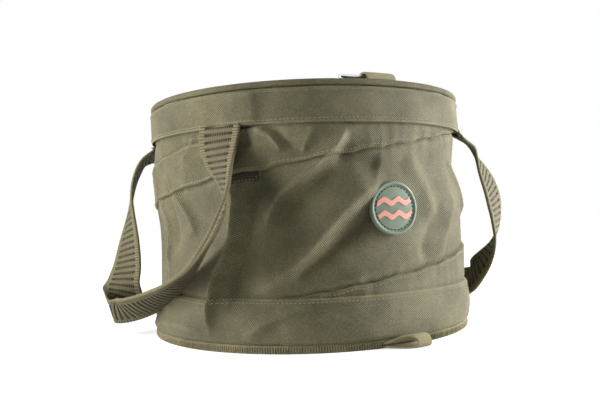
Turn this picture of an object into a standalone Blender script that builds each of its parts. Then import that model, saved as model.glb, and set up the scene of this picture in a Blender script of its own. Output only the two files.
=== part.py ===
"""Collapsible camp bucket: a soft round fabric bucket with a stiffened rim, a stiff base and two webbing handles.

Units are metres and +Z is up. The origin is the centre of the base on the floor. The front, with the
badge, faces -Y. An azimuth is an angle in degrees round +Z, zero at the front, and it grows to the right.
Radii are written for one layer after another, from the liner to the outer band, so each piece takes its
place from the piece inside it and from the sewing clearance.
"""

import math

import bmesh
import bpy
from mathutils import Vector

# Overall sizes
BUCKET_HEIGHT = 0.202
WALL_RADIUS = 0.138
LAYER_GAP = 0.0003
ROUND_STEPS = 72
CURVE_STEPS = 16

# Fabric thicknesses
SHELL_THICKNESS = 0.0014
LINER_THICKNESS = 0.0012
FACING_THICKNESS = 0.0012
OVERLAY_THICKNESS = 0.0014

# Base
BASE_PANEL_THICKNESS = 0.0012
BASE_BOARD_THICKNESS = 0.0025
FLOOR_LINER_THICKNESS = 0.0012
BINDING_HEIGHT = 0.006
BINDING_THICKNESS = 0.0030
BINDING_ROUNDING = 0.0010

# Bottom band
BOTTOM_BAND_TOP = 0.040
BOTTOM_BAND_SWELL = 0.0028
BOTTOM_BAND_STEPS = 5

# Rim
RIM_BAND_HEIGHT = 0.0268
RIM_LAP = 0.0040
RIM_BAND_THICKNESS = 0.0017
PIPING_DIAMETER = 0.0050
PIPING_SIDES = 8

# Spiral band
SPIRAL_WIDTH = 0.033
SPIRAL_PITCH = 0.133
SPIRAL_DROP_AT_FRONT = 0.0174
SPIRAL_STEP_DEG = 6.0
SPIRAL_LEAST_HEIGHT = 0.0008

# Handles
STRAP_WIDTH = 0.038
STRAP_THICKNESS = 0.0020
STRAP_STAND_OFF = 0.0006
ANCHOR_HALF_ANGLE = 35.0
HANDLE_AZIMUTHS = {"left": -90.0, "right": 90.0}
LOOP_DROP = 0.148
LOOP_REACH = 0.050
SEWN_END_LENGTH = 0.0090
SEWN_END_GAP = 0.0003
STRAP_STATIONS = 84

# Webbing patch beside the left strap
PATCH_WIDTH = 0.0190
PATCH_HEIGHT = 0.0055
PATCH_THICKNESS = 0.0012
PATCH_AZIMUTH = -48.0

# Badge
BADGE_DIAMETER = 0.041
BADGE_THICKNESS = 0.0024
BADGE_RIM_WIDTH = 0.0026
BADGE_RIM_HEIGHT = 0.0008
BADGE_DROP_BELOW_SPIRAL = 0.0485
BADGE_SIDES = 40

# Herringbone tape loops at the rim and at the base
TAPE_THICKNESS = 0.0015
TOP_TAPE_WIDTH = 0.025
TOP_TAPE_AZIMUTH = -1.5
TOP_TAPE_ABOVE_RIM = 0.0080
TOP_TAPE_DEPTH = 0.030
TOP_TAPE_REACH = 0.0180
BASE_TAPE_WIDTH = 0.025
BASE_TAPE_AZIMUTH = 3.5
BASE_TAPE_REACH = 0.030
BASE_TAPE_HEIGHT = 0.0066
TAPE_STATIONS = 5
TAPE_POINTS_PER_STEP = 3

# Tie ring
RING_WIRE = 0.0034
RING_WIDTH = 0.052
RING_DEPTH = 0.034
RING_SLIDE = 0.0085
RING_PLAY = 0.0003
RING_SQUARENESS_SHARE = 0.45
RING_BAR_STEPS = 4
RING_ARC_STEPS = 12
RING_SIDES = 8

# Worked-out heights and radii
RIM_TOP = BUCKET_HEIGHT - PIPING_DIAMETER - LAYER_GAP
RIM_EDGE = RIM_TOP - RIM_BAND_HEIGHT
WALL_TOP = RIM_EDGE + RIM_LAP
BOARD_BOTTOM = BASE_PANEL_THICKNESS + LAYER_GAP
BOARD_TOP = BOARD_BOTTOM + BASE_BOARD_THICKNESS
FLOOR_BOTTOM = BOARD_TOP + LAYER_GAP
FLOOR_TOP = FLOOR_BOTTOM + FLOOR_LINER_THICKNESS
SHELL_INNER = WALL_RADIUS - SHELL_THICKNESS
LINER_OUTER = SHELL_INNER - LAYER_GAP
LINER_INNER = LINER_OUTER - LINER_THICKNESS
FLOOR_RADIUS = LINER_INNER - LAYER_GAP
FACING_OUTER = LINER_INNER - LAYER_GAP
FACING_INNER = FACING_OUTER - FACING_THICKNESS
OVERLAY_INNER = WALL_RADIUS + LAYER_GAP
OVERLAY_OUTER = OVERLAY_INNER + OVERLAY_THICKNESS
RIM_OUTER = OVERLAY_INNER + RIM_BAND_THICKNESS
STRAP_RADIUS = OVERLAY_OUTER + STRAP_STAND_OFF + STRAP_THICKNESS / 2
ANCHOR_TOP = RIM_EDGE - LAYER_GAP
SPIRAL_LOWER_EDGE_AT_FRONT = RIM_EDGE - SPIRAL_DROP_AT_FRONT
BADGE_HEIGHT = SPIRAL_LOWER_EDGE_AT_FRONT - BADGE_DROP_BELOW_SPIRAL

# A handle's centre line, front anchor to rear anchor as seen from the front of the left handle:
# along the rim (share of half the anchor spread), outward (share of LOOP_REACH), down (share of LOOP_DROP),
# and how far the strap's width has turned round the vertical, in degrees.
LEFT_STRAP_SHARES = [
    (-1.000, 0.000, 0.000, -55),
    (-1.005, 0.015, 0.125, -61),
    (-1.105, 0.090, 0.265, -80),
    (-1.110, 0.220, 0.385, -104),
    (-1.145, 0.320, 0.525, -125),
    (-1.085, 0.500, 0.632, -142),
    (-0.960, 0.640, 0.752, -155),
    (-0.640, 0.820, 0.855, -166),
    (-0.270, 0.990, 0.912, -176),
    (0.500, 0.970, 0.985, -180),
    (0.780, 0.870, 0.992, -178),
    (0.950, 0.800, 0.935, -172),
    (1.040, 0.720, 0.835, -164),
    (1.050, 0.660, 0.715, -153),
    (1.010, 0.620, 0.505, -139),
    (0.990, 0.570, 0.330, -124),
    (1.035, 0.500, 0.228, -121),
    (1.095, 0.420, 0.160, -122),
    (1.085, 0.220, 0.056, -124),
    (1.045, 0.080, 0.026, -125),
    (1.000, 0.000, 0.000, -125),
]
RIGHT_STRAP_SHARES = [
    (-1.000, 0.000, 0.000, -55),
    (-1.005, 0.015, 0.125, -61),
    (-1.105, 0.090, 0.265, -80),
    (-1.110, 0.220, 0.385, -104),
    (-1.145, 0.320, 0.525, -125),
    (-1.085, 0.500, 0.632, -142),
    (-0.960, 0.640, 0.752, -153),
    (-0.640, 0.820, 0.855, -158),
    (-0.270, 0.960, 0.925, -154),
    (0.250, 1.000, 0.985, -140),
    (0.600, 0.960, 0.985, -122),
    (0.840, 0.880, 0.905, -104),
    (1.000, 0.820, 0.790, -98),
    (1.100, 0.800, 0.650, -112),
    (1.120, 0.800, 0.540, -127),
    (1.100, 0.760, 0.430, -136),
    (1.070, 0.680, 0.340, -134),
    (1.060, 0.500, 0.155, -123),
    (1.050, 0.300, 0.080, -121),
    (1.030, 0.110, 0.030, -124),
    (1.000, 0.000, 0.000, -125),
]

# Cross-sections of the tape loops, in shares of their reach and height, from the lower foot round to the upper
TOP_TAPE_SHARES = [(0.00, 0.00), (0.30, 0.10), (0.74, 0.30), (0.98, 0.58), (0.97, 0.86), (0.78, 0.99),
                   (0.46, 1.00), (0.20, 0.93), (0.09, 0.76), (0.085, 0.42), (0.085, 0.05)]
RING_BAR_SHARE = 0.62
BASE_TAPE_SHARES = [(0.00, 0.26), (0.30, 0.16), (0.70, 0.00), (0.95, 0.06), (1.00, 0.42), (0.85, 0.78),
                    (0.50, 0.98), (0.22, 0.84), (0.00, 0.56)]


def place(radius, azimuth, height):
    """The point at a radius, an azimuth in degrees and a height."""
    turn = math.radians(azimuth)
    return Vector((radius * math.sin(turn), -radius * math.cos(turn), height))


def material(name, colour, roughness, metallic=0.0):
    """A plain Principled material."""
    made = bpy.data.materials.new(name)
    made.use_nodes = True
    shader = made.node_tree.nodes["Principled BSDF"]
    shader.inputs["Base Color"].default_value = (*colour, 1.0)
    shader.inputs["Roughness"].default_value = roughness
    shader.inputs["Metallic"].default_value = metallic
    return made


def finish(name, shape, look, sharp_deg=40.0):
    """Turns a bmesh into a named object, with its faces pointing out and its round parts smooth."""
    bmesh.ops.recalc_face_normals(shape, faces=shape.faces)
    mesh = bpy.data.meshes.new(name)
    shape.to_mesh(mesh)
    shape.free()
    mesh.shade_smooth()
    mesh.set_sharp_from_angle(angle=math.radians(sharp_deg))
    mesh.materials.append(look)
    made = bpy.data.objects.new(name, mesh)
    bpy.context.scene.collection.objects.link(made)
    return made


def loft(shape, sections, closed=False):
    """Joins outlines of equal count, one after another, and caps both ends unless the run is closed."""
    rows = [[shape.verts.new(point) for point in section] for section in sections]
    pairs = list(zip(rows, rows[1:] + rows[:1] if closed else rows[1:]))
    for near, far in pairs:
        for index in range(len(near)):
            after = (index + 1) % len(near)
            shape.faces.new((near[index], near[after], far[after], far[index]))
    if not closed:
        shape.faces.new(rows[0])
        shape.faces.new(rows[-1])


def turned(name, profile, look, start=0.0, sweep=360.0):
    """A profile of (radius, height) points carried round the bucket, as a full ring or a part of one."""
    full = sweep >= 360.0
    steps = max(2, round(ROUND_STEPS * sweep / 360.0))
    count = steps if full else steps + 1
    azimuths = [start + sweep * index / steps for index in range(count)]
    shape = bmesh.new()
    loft(shape, [[place(r, azimuth, z) for r, z in profile] for azimuth in azimuths], closed=full)
    return finish(name, shape, look)


def upright(inner, outer, bottom, top):
    """A plain upright wall's profile."""
    return [(inner, bottom), (outer, bottom), (outer, top), (inner, top)]


def disc(name, radius, bottom, top, look):
    """A flat round sheet."""
    shape = bmesh.new()
    azimuths = [360.0 * index / ROUND_STEPS for index in range(ROUND_STEPS)]
    loft(shape, [[place(radius, azimuth, z) for azimuth in azimuths] for z in (bottom, top)])
    return finish(name, shape, look)


def make_base(fabric, board, liner, tape):
    """The underside, its stiffener, the floor inside, and the ribbed binding round the base seam."""
    disc("base_panel", WALL_RADIUS, 0.0, BASE_PANEL_THICKNESS, fabric)
    disc("base_board", FLOOR_RADIUS, BOARD_BOTTOM, BOARD_TOP, board)
    disc("floor_liner", FLOOR_RADIUS, FLOOR_BOTTOM, FLOOR_TOP, liner)
    outer = OVERLAY_INNER + BINDING_THICKNESS
    shoulder = outer - BINDING_ROUNDING
    profile = [(OVERLAY_INNER, 0.0), (shoulder, 0.0), (outer, BINDING_ROUNDING),
               (outer, BINDING_HEIGHT - BINDING_ROUNDING), (shoulder, BINDING_HEIGHT), (OVERLAY_INNER, BINDING_HEIGHT)]
    turned("base_binding", profile, tape)


def make_bottom_band(fabric):
    """The outer band round the foot of the wall, which swells a little between its two seams."""
    bottom = BINDING_HEIGHT + LAYER_GAP
    height = BOTTOM_BAND_TOP - bottom
    shares = [index / BOTTOM_BAND_STEPS for index in range(BOTTOM_BAND_STEPS + 1)]
    swell = [(bottom + share * height, BOTTOM_BAND_SWELL * math.sin(math.pi * share)) for share in shares]
    inner = [(OVERLAY_INNER + out, z) for z, out in swell]
    outer = [(OVERLAY_OUTER + out, z) for z, out in swell]
    turned("bottom_band", inner + outer[::-1], fabric)


def make_walls(fabric, liner):
    """The two wall panels, which meet at side seams, and the inner liner."""
    seam = math.degrees(LAYER_GAP / 2 / WALL_RADIUS)
    profile = upright(SHELL_INNER, WALL_RADIUS, BOARD_BOTTOM, WALL_TOP)
    turned("front_wall_panel", profile, fabric, start=-90.0 + seam, sweep=180.0 - 2 * seam)
    turned("rear_wall_panel", profile, fabric, start=90.0 + seam, sweep=180.0 - 2 * seam)
    turned("wall_liner", upright(LINER_INNER, LINER_OUTER, BOARD_BOTTOM, WALL_TOP), liner)


def spiral_edges(azimuth):
    """The spiral band's lower and upper edge at an azimuth, cut off by the bottom band and the rim band."""
    lower = SPIRAL_LOWER_EDGE_AT_FRONT + SPIRAL_PITCH * azimuth / 360.0
    return max(lower, BOTTOM_BAND_TOP + LAYER_GAP), min(lower + SPIRAL_WIDTH, RIM_EDGE - LAYER_GAP)


def make_spiral_band(fabric):
    """The outer band that climbs once round the wall, from the bottom band to the rim."""
    rise = SPIRAL_PITCH / 360.0
    last = (RIM_EDGE - LAYER_GAP - SPIRAL_LEAST_HEIGHT - SPIRAL_LOWER_EDGE_AT_FRONT) / rise
    first = (BOTTOM_BAND_TOP + LAYER_GAP + SPIRAL_LEAST_HEIGHT - SPIRAL_WIDTH - SPIRAL_LOWER_EDGE_AT_FRONT) / rise
    steps = round((last - first) / SPIRAL_STEP_DEG)
    sections = []
    for index in range(steps + 1):
        azimuth = first + (last - first) * index / steps
        lower, upper = spiral_edges(azimuth)
        corners = upright(OVERLAY_INNER, OVERLAY_OUTER, lower, upper)
        sections.append([place(r, azimuth, z) for r, z in corners])
    shape = bmesh.new()
    loft(shape, sections)
    finish("spiral_band", shape, fabric)


def make_rim(fabric, hoop, liner, piping):
    """The rim's hoop, the band outside it, the facing inside it and the piping along its top."""
    turned("rim_hoop", upright(LINER_INNER, WALL_RADIUS, WALL_TOP + LAYER_GAP, RIM_TOP), hoop)
    turned("rim_band", upright(OVERLAY_INNER, RIM_OUTER, RIM_EDGE, RIM_TOP), fabric)
    turned("rim_facing", upright(FACING_INNER, FACING_OUTER, RIM_EDGE, RIM_TOP), liner)
    radius = PIPING_DIAMETER / 2
    middle = RIM_OUTER - radius + LAYER_GAP / 2
    corners = [2 * math.pi * (index + 0.5) / PIPING_SIDES for index in range(PIPING_SIDES)]
    flat = radius / math.cos(math.pi / PIPING_SIDES)
    profile = [(middle + flat * math.cos(turn), BUCKET_HEIGHT - radius + flat * math.sin(turn)) for turn in corners]
    turned("rim_piping", profile, piping)


def smooth_rows(rows, count):
    """Points on a smooth curve through the rows of numbers, evenly spaced along its length."""
    dense = []
    for index in range(len(rows) - 1):
        a, b, c, d = (Vector(rows[min(max(index + step, 0), len(rows) - 1)]) for step in (-1, 0, 1, 2))
        for part in range(CURVE_STEPS):
            t = part / CURVE_STEPS
            dense.append((2 * b + (c - a) * t + (2 * a - 5 * b + 4 * c - d) * t**2 + (3 * b - a - 3 * c + d) * t**3) / 2)
    dense.append(Vector(rows[-1]))
    lengths = [0.0]
    for near, far in zip(dense, dense[1:]):
        lengths.append(lengths[-1] + (far.xyz - near.xyz).length)
    points = []
    spot = 0
    for index in range(count):
        wanted = lengths[-1] * index / (count - 1)
        while spot < len(dense) - 2 and lengths[spot + 1] < wanted:
            spot += 1
        share = (wanted - lengths[spot]) / (lengths[spot + 1] - lengths[spot])
        points.append(dense[spot].lerp(dense[spot + 1], min(max(share, 0.0), 1.0)))
    return points, lengths[-1]


def strap_stations(side, shares):
    """The handle's centre points and width directions, evenly spaced, and the strap's length."""
    flip = 1.0 if side == "left" else -1.0
    chord = STRAP_RADIUS * math.cos(math.radians(ANCHOR_HALF_ANGLE))
    spread = STRAP_RADIUS * math.sin(math.radians(ANCHOR_HALF_ANGLE))
    rows = [(-(chord + out * LOOP_REACH), along * spread, ANCHOR_TOP - down * LOOP_DROP, math.radians(turn))
            for along, out, down, turn in shares]
    points, length = smooth_rows(rows, STRAP_STATIONS)
    stations = []
    for index, point in enumerate(points):
        ahead = points[min(index + 1, len(points) - 1)].xyz - points[max(index - 1, 0)].xyz
        tangent = ahead.normalized()
        width = Vector((math.cos(point.w), math.sin(point.w), 0.0))
        width = (width - width.dot(tangent) * tangent).normalized()
        turned_about = Vector((flip, flip, 1.0))
        stations.append((point.xyz * turned_about, width * turned_about, tangent * turned_about))
    return stations, length


def strap_run(name, stations, look):
    """A flat webbing strap along the stations."""
    sections = []
    for centre, width, tangent in stations:
        across = width * STRAP_WIDTH / 2
        through = tangent.cross(width).normalized() * STRAP_THICKNESS / 2
        sections.append([centre - across - through, centre + across - through,
                         centre + across + through, centre - across + through])
    shape = bmesh.new()
    loft(shape, sections)
    return finish(name, shape, look)


def make_handle(side, shares, look):
    """One handle: the webbing loop that swings, and its two ends sewn under the rim band."""
    stations, length = strap_stations(side, shares)
    ends = max(2, round(SEWN_END_LENGTH / length * (STRAP_STATIONS - 1)))
    cut = stations[ends]
    near_gap = cut[2] * SEWN_END_GAP
    front = stations[:ends] + [(cut[0] - near_gap, cut[1], cut[2])]
    back_cut = stations[-1 - ends]
    far_gap = back_cut[2] * SEWN_END_GAP
    back = [(back_cut[0] + far_gap, back_cut[1], back_cut[2])] + stations[-ends:]
    first, second = ("front", "rear") if side == "left" else ("rear", "front")
    strap_run(f"{side}_strap_{first}_end", front, look)
    strap_run(f"{side}_strap_{second}_end", back, look)
    strap_run(f"{side}_handle_loop", stations[ends:-ends], look)


def make_strap_patch(look):
    """The short end of webbing that is sewn flat on the wall beside the left strap."""
    half = math.degrees(PATCH_WIDTH / 2 / WALL_RADIUS)
    top = spiral_edges(PATCH_AZIMUTH - half)[0] - LAYER_GAP
    inner = OVERLAY_INNER
    profile = upright(inner, inner + PATCH_THICKNESS, top - PATCH_HEIGHT, top)
    turned("strap_patch", profile, look, start=PATCH_AZIMUTH - half, sweep=2 * half)


def make_badge(look):
    """The round rubber badge, bent to the wall, with a raised rim and a bare field."""
    radius = BADGE_DIAMETER / 2
    field = radius - BADGE_RIM_WIDTH
    face = BADGE_THICKNESS - BADGE_RIM_HEIGHT
    shoulder = BADGE_RIM_HEIGHT / 2
    steps = [(field / 3, 0.0), (field * 2 / 3, 0.0), (field, 0.0), (radius, 0.0), (radius, face),
             (radius - shoulder, BADGE_THICKNESS), (field + shoulder, BADGE_THICKNESS), (field, face),
             (field * 2 / 3, face), (field / 3, face)]
    sections = []
    for out, height in steps:
        turns = [2 * math.pi * index / BADGE_SIDES for index in range(BADGE_SIDES)]
        sections.append([
            place(OVERLAY_INNER + height, math.degrees(out * math.sin(turn) / WALL_RADIUS),
                  BADGE_HEIGHT + out * math.cos(turn))
            for turn in turns
        ])
    shape = bmesh.new()
    loft(shape, sections)
    return finish("badge", shape, look)


def tape_outline(centre_line, thickness):
    """The closed outline of a tape of a thickness that follows a line of (radius, height) points."""
    points = [Vector((r, z, 0.0, 0.0)) for r, z in centre_line]
    fine, _ = smooth_rows([tuple(point) for point in points], TAPE_POINTS_PER_STEP * len(centre_line))
    left = []
    right = []
    for index, point in enumerate(fine):
        ahead = fine[min(index + 1, len(fine) - 1)] - fine[max(index - 1, 0)]
        normal = Vector((-ahead.y, ahead.x)).normalized() * thickness / 2
        left.append((point.x + normal.x, point.y + normal.y))
        right.append((point.x - normal.x, point.y - normal.y))
    return left + right[::-1]


def tape_loop(name, outline, azimuth, width, radius, look):
    """A tape loop whose outline is carried a width along the seam at a radius."""
    half = math.degrees(width / 2 / radius)
    spots = [azimuth - half + 2 * half * index / (TAPE_STATIONS - 1) for index in range(TAPE_STATIONS)]
    shape = bmesh.new()
    loft(shape, [[place(r, spot, z) for r, z in outline] for spot in spots])
    return finish(name, shape, look)


def top_tape_line():
    """The rim loop's cross-section: from its foot on the facing, inward, up and back behind the piping."""
    foot = FACING_INNER - LAYER_GAP - TAPE_THICKNESS / 2
    top = BUCKET_HEIGHT + TOP_TAPE_ABOVE_RIM - TAPE_THICKNESS / 2
    bottom = top - TOP_TAPE_DEPTH
    return [(foot - out * TOP_TAPE_REACH, bottom + up * TOP_TAPE_DEPTH) for out, up in TOP_TAPE_SHARES]


def make_top_tape(look):
    """The tape loop that stands inside the rim at the front."""
    tape_loop("rim_tape_loop", tape_outline(top_tape_line(), TAPE_THICKNESS), TOP_TAPE_AZIMUTH,
              TOP_TAPE_WIDTH, FACING_INNER, look)


def make_base_tape(look):
    """The tape loop in the base seam, for tipping the bucket, which lies out on the floor."""
    root = OVERLAY_INNER + BINDING_THICKNESS + LAYER_GAP
    bottom = LAYER_GAP + TAPE_THICKNESS / 2
    height = BASE_TAPE_HEIGHT - TAPE_THICKNESS
    line = [(root + out * BASE_TAPE_REACH, bottom + up * height) for out, up in BASE_TAPE_SHARES]
    tape_loop("base_tape_loop", tape_outline(line, TAPE_THICKNESS), BASE_TAPE_AZIMUTH, BASE_TAPE_WIDTH, root, look)


def make_tie_ring(look):
    """The plated ring whose straight bar runs through the rim's tape loop, and which hangs inside the bucket."""
    wire = RING_WIRE / 2
    foot = FACING_INNER - LAYER_GAP - TAPE_THICKNESS / 2
    tape_top = BUCKET_HEIGHT + TOP_TAPE_ABOVE_RIM
    bar = Vector((foot - RING_BAR_SHARE * TOP_TAPE_REACH, tape_top - TAPE_THICKNESS - RING_PLAY - wire))
    along = place(1.0, TOP_TAPE_AZIMUTH + 90.0, 0.0)
    centre = place(bar.x, TOP_TAPE_AZIMUTH, bar.y) - along * RING_SLIDE
    half = (RING_WIDTH - RING_WIRE) / 2
    drop = RING_DEPTH - RING_WIRE
    path = [(half - 2 * half * index / RING_BAR_STEPS, 0.0) for index in range(1, RING_BAR_STEPS)]
    arc = [math.pi * index / RING_ARC_STEPS for index in range(RING_ARC_STEPS + 1)]
    path += [(-half * math.copysign(abs(math.cos(turn)) ** RING_SQUARENESS_SHARE, math.cos(turn)),
              drop * abs(math.sin(turn)) ** RING_SQUARENESS_SHARE) for turn in arc]
    outward = place(1.0, TOP_TAPE_AZIMUTH, 0.0)
    sections = []
    for index, (side, down) in enumerate(path):
        before, after = path[index - 1], path[(index + 1) % len(path)]
        ahead = along * (after[0] - before[0]) - Vector((0.0, 0.0, after[1] - before[1]))
        across = ahead.cross(outward).normalized()
        turns = [2 * math.pi * (step + 0.5) / RING_SIDES for step in range(RING_SIDES)]
        middle = centre + along * side - Vector((0.0, 0.0, down))
        sections.append([middle + wire * (math.cos(turn) * across + math.sin(turn) * outward) for turn in turns])
    shape = bmesh.new()
    loft(shape, sections, closed=True)
    return finish("tie_ring", shape, look)


def main():
    for leftover in list(bpy.data.objects):
        bpy.data.objects.remove(leftover)
    fabric = material("olive_fabric", (0.190, 0.180, 0.110), 0.85)
    liner = material("coated_liner", (0.120, 0.115, 0.075), 0.55)
    board = material("stiff_board", (0.060, 0.060, 0.055), 0.70)
    hoop = material("spring_hoop", (0.040, 0.040, 0.040), 0.50)
    piping = material("piping", (0.090, 0.100, 0.075), 0.75)
    grosgrain = material("ribbed_tape", (0.210, 0.190, 0.110), 0.85)
    webbing = material("webbing", (0.250, 0.215, 0.115), 0.80)
    rubber = material("soft_rubber", (0.200, 0.250, 0.180), 0.60)
    plated = material("plated_wire", (0.800, 0.800, 0.820), 0.20, metallic=1.0)
    make_base(fabric, board, liner, grosgrain)
    make_bottom_band(fabric)
    make_walls(fabric, liner)
    make_spiral_band(fabric)
    make_rim(fabric, hoop, liner, piping)
    make_handle("left", LEFT_STRAP_SHARES, webbing)
    make_handle("right", RIGHT_STRAP_SHARES, webbing)
    make_strap_patch(webbing)
    make_badge(rubber)
    make_top_tape(grosgrain)
    make_base_tape(grosgrain)
    make_tie_ring(plated)


main()
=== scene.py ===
# %% [markdown]
# # A soft folding camp bucket
# The bucket is cloth sewn round two stiff rings: a sprung hoop in the rim and a board in the base. Between
# them the wall hangs slack, so it creases and bulges. This file builds those soft surfaces on a grid, one
# piece at a time, and gives each cloth, tape and wire a finish made from shader nodes.
#
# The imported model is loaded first. Its solids have the right size and place, so every height and radius
# below is read from them, and nothing has to be fitted afterwards.

# %% Load the solids
import math

import bmesh
import bpy
import numpy as np
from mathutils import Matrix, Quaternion, Vector


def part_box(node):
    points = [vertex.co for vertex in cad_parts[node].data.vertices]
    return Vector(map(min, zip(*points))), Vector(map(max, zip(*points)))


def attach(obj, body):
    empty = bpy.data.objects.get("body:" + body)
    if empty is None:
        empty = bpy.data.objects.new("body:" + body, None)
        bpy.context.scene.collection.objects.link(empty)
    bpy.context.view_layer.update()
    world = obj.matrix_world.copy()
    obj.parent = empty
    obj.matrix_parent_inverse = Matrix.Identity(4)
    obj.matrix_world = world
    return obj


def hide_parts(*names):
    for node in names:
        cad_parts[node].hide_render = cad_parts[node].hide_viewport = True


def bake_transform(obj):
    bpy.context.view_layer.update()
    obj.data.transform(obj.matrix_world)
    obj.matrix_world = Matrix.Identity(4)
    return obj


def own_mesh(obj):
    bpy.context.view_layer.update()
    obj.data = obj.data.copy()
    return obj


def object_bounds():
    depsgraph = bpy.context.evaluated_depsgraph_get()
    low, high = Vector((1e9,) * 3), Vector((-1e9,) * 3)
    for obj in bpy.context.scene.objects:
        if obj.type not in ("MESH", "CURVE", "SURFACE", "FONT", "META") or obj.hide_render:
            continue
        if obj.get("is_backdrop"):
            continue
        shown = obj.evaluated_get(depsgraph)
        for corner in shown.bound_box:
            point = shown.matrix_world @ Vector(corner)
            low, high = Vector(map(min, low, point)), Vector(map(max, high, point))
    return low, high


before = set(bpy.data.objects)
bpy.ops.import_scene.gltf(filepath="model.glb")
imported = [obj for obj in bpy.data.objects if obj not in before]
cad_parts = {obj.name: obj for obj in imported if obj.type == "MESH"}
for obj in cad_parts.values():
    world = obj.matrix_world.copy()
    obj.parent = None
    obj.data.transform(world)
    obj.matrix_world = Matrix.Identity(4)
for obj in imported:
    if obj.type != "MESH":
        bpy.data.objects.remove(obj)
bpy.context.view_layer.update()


# %% [markdown]
# Heights and radii come from the solids' boxes. A round piece has its radius as its box's highest x. The
# shapes below are written in millimetres, the unit in which someone would measure a bucket, and a mesh is
# scaled to metres when it is made. `PLAY` is the gap that the solids leave between two pieces.

# %% Heights and radii in millimetres
MM = 0.001
PLAY = 0.3
WALL_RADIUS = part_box("base_panel")[1].x / MM
BINDING_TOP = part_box("base_binding")[1].z / MM
BINDING_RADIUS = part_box("base_binding")[1].x / MM
BAND_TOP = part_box("bottom_band")[1].z / MM
FOLD_START = BAND_TOP + PLAY
FLOOR_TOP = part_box("floor_liner")[1].z / MM
BOARD_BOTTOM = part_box("base_board")[0].z / MM
FLOOR_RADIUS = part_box("floor_liner")[1].x / MM
RIM_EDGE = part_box("rim_band")[0].z / MM
RIM_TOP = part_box("rim_band")[1].z / MM
WALL_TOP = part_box("wall_liner")[1].z / MM
FACING_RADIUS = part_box("rim_facing")[1].x / MM
BEAD_RADIUS = (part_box("rim_piping")[1].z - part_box("rim_piping")[0].z) / 2 / MM
BEAD_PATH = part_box("rim_piping")[1].x / MM - BEAD_RADIUS
BEAD_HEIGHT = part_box("rim_piping")[1].z / MM - BEAD_RADIUS
print("wall radius", round(WALL_RADIUS, 1), "mm; the folding part runs from", FOLD_START, "to", RIM_EDGE)


# %% [markdown]
# ## Camera
# The camera's place was worked out from the photograph: the rim and the base ring give the distance and the
# height, and the horizon is a little tilted. A direction becomes a rotation with `to_track_quat`, and the
# tilt is a turn about the camera's own line of sight.

# %% Camera
CAMERA_PLACE = Vector((-0.3070, -0.5585, 0.1010))
CAMERA_SIGHT = Vector((0.4755, 0.8794, 0.02295))
CAMERA_TILT = math.radians(-2.17)
CAMERA_LENS = 40.76

camera = bpy.data.objects.new("camera", bpy.data.cameras.new("camera"))
bpy.context.scene.collection.objects.link(camera)
camera.location = CAMERA_PLACE
camera.rotation_mode = "QUATERNION"
camera.rotation_quaternion = CAMERA_SIGHT.to_track_quat("-Z", "Y") @ Quaternion((0, 0, 1), CAMERA_TILT)
camera.data.lens = CAMERA_LENS
camera.data.clip_start = 0.01
bpy.context.scene.camera = camera
print("the camera stands", round(CAMERA_PLACE.length, 3), "m from the middle of the base")


# %% [markdown]
# ## Studio
# A product photograph like this one has a soft lamp on each side and a bright room. Each lamp here is an
# area light whose place is given by an angle round the bucket, seen from the camera, and a height angle.
# The white of the background isn't more light: the world and the floor look white only to the camera, and
# to mirrors and glass, with the Light Path node.

# %% Lamps
SIGHT_AZIMUTH = math.atan2(-CAMERA_PLACE.x, -CAMERA_PLACE.y)
BUCKET_MIDDLE = Vector((0, 0, 0.1))


def lamp(name, side_deg, up_deg, distance, size, power):
    """A rectangular area light aimed at the bucket's middle; side_deg grows to the camera's left."""
    light = bpy.data.lights.new(name, "AREA")
    light.shape = "RECTANGLE"
    light.size, light.size_y = size
    light.energy = power
    turn = SIGHT_AZIMUTH + math.radians(side_deg)
    rise = math.radians(up_deg)
    away = Vector((-math.sin(turn) * math.cos(rise), -math.cos(turn) * math.cos(rise), math.sin(rise)))
    made = bpy.data.objects.new(name, light)
    bpy.context.scene.collection.objects.link(made)
    made.location = away * distance + BUCKET_MIDDLE
    made.rotation_mode = "QUATERNION"
    made.rotation_quaternion = (-away).to_track_quat("-Z", "Y")
    print(name, "gives", power, "W from", distance, "m")


lamp("right_softbox", -93, 8, 1.1, (0.45, 0.9), 31.0)
lamp("left_softbox", 61, 14, 0.64, (0.46, 0.38), 4.6)
lamp("top_softbox", 10, 78, 1.2, (0.9, 0.9), 1.0)


# %% [markdown]
# ## Shader building blocks
# A material is a graph. These helpers add one node and wire its inputs in one call, so that a material
# reads from top to bottom as a recipe.

# %% Node helpers
def feed(tree, made, **inputs):
    """Sets a node's inputs to numbers or to other nodes' outputs. An input is given by its name, with _ for
    a space, or by i and its number."""
    for key, value in inputs.items():
        name = key.replace("_", " ")
        numbered = name[0] == "i" and name[1:].isdigit()
        socket = made.inputs[int(name[1:])] if numbered else made.inputs[name]
        if isinstance(value, bpy.types.NodeSocket):
            tree.links.new(value, socket)
        else:
            socket.default_value = value


def node(tree, kind, outlet=0, settings=None, **inputs):
    """Adds a node with its settings, feeds its inputs and gives one of its outputs."""
    made = tree.nodes.new(kind)
    for key, value in (settings or {}).items():
        setattr(made, key, value)
    feed(tree, made, **inputs)
    return made.outputs[outlet]


def maths(tree, operation, first, second=0.0, third=0.0):
    """One arithmetic step."""
    return node(tree, "ShaderNodeMath", settings={"operation": operation}, i0=first, i1=second, i2=third)


def sine_mask(tree, angle):
    """A sine wave between 0 and 1."""
    return maths(tree, "MULTIPLY_ADD", maths(tree, "SINE", angle), 0.5, 0.5)


def spread(tree, mask, gain, base):
    """A mask's distance from its middle value, 0.5, times a gain and added to a base."""
    return maths(tree, "MULTIPLY_ADD", maths(tree, "SUBTRACT", mask, 0.5), gain, base)


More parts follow.
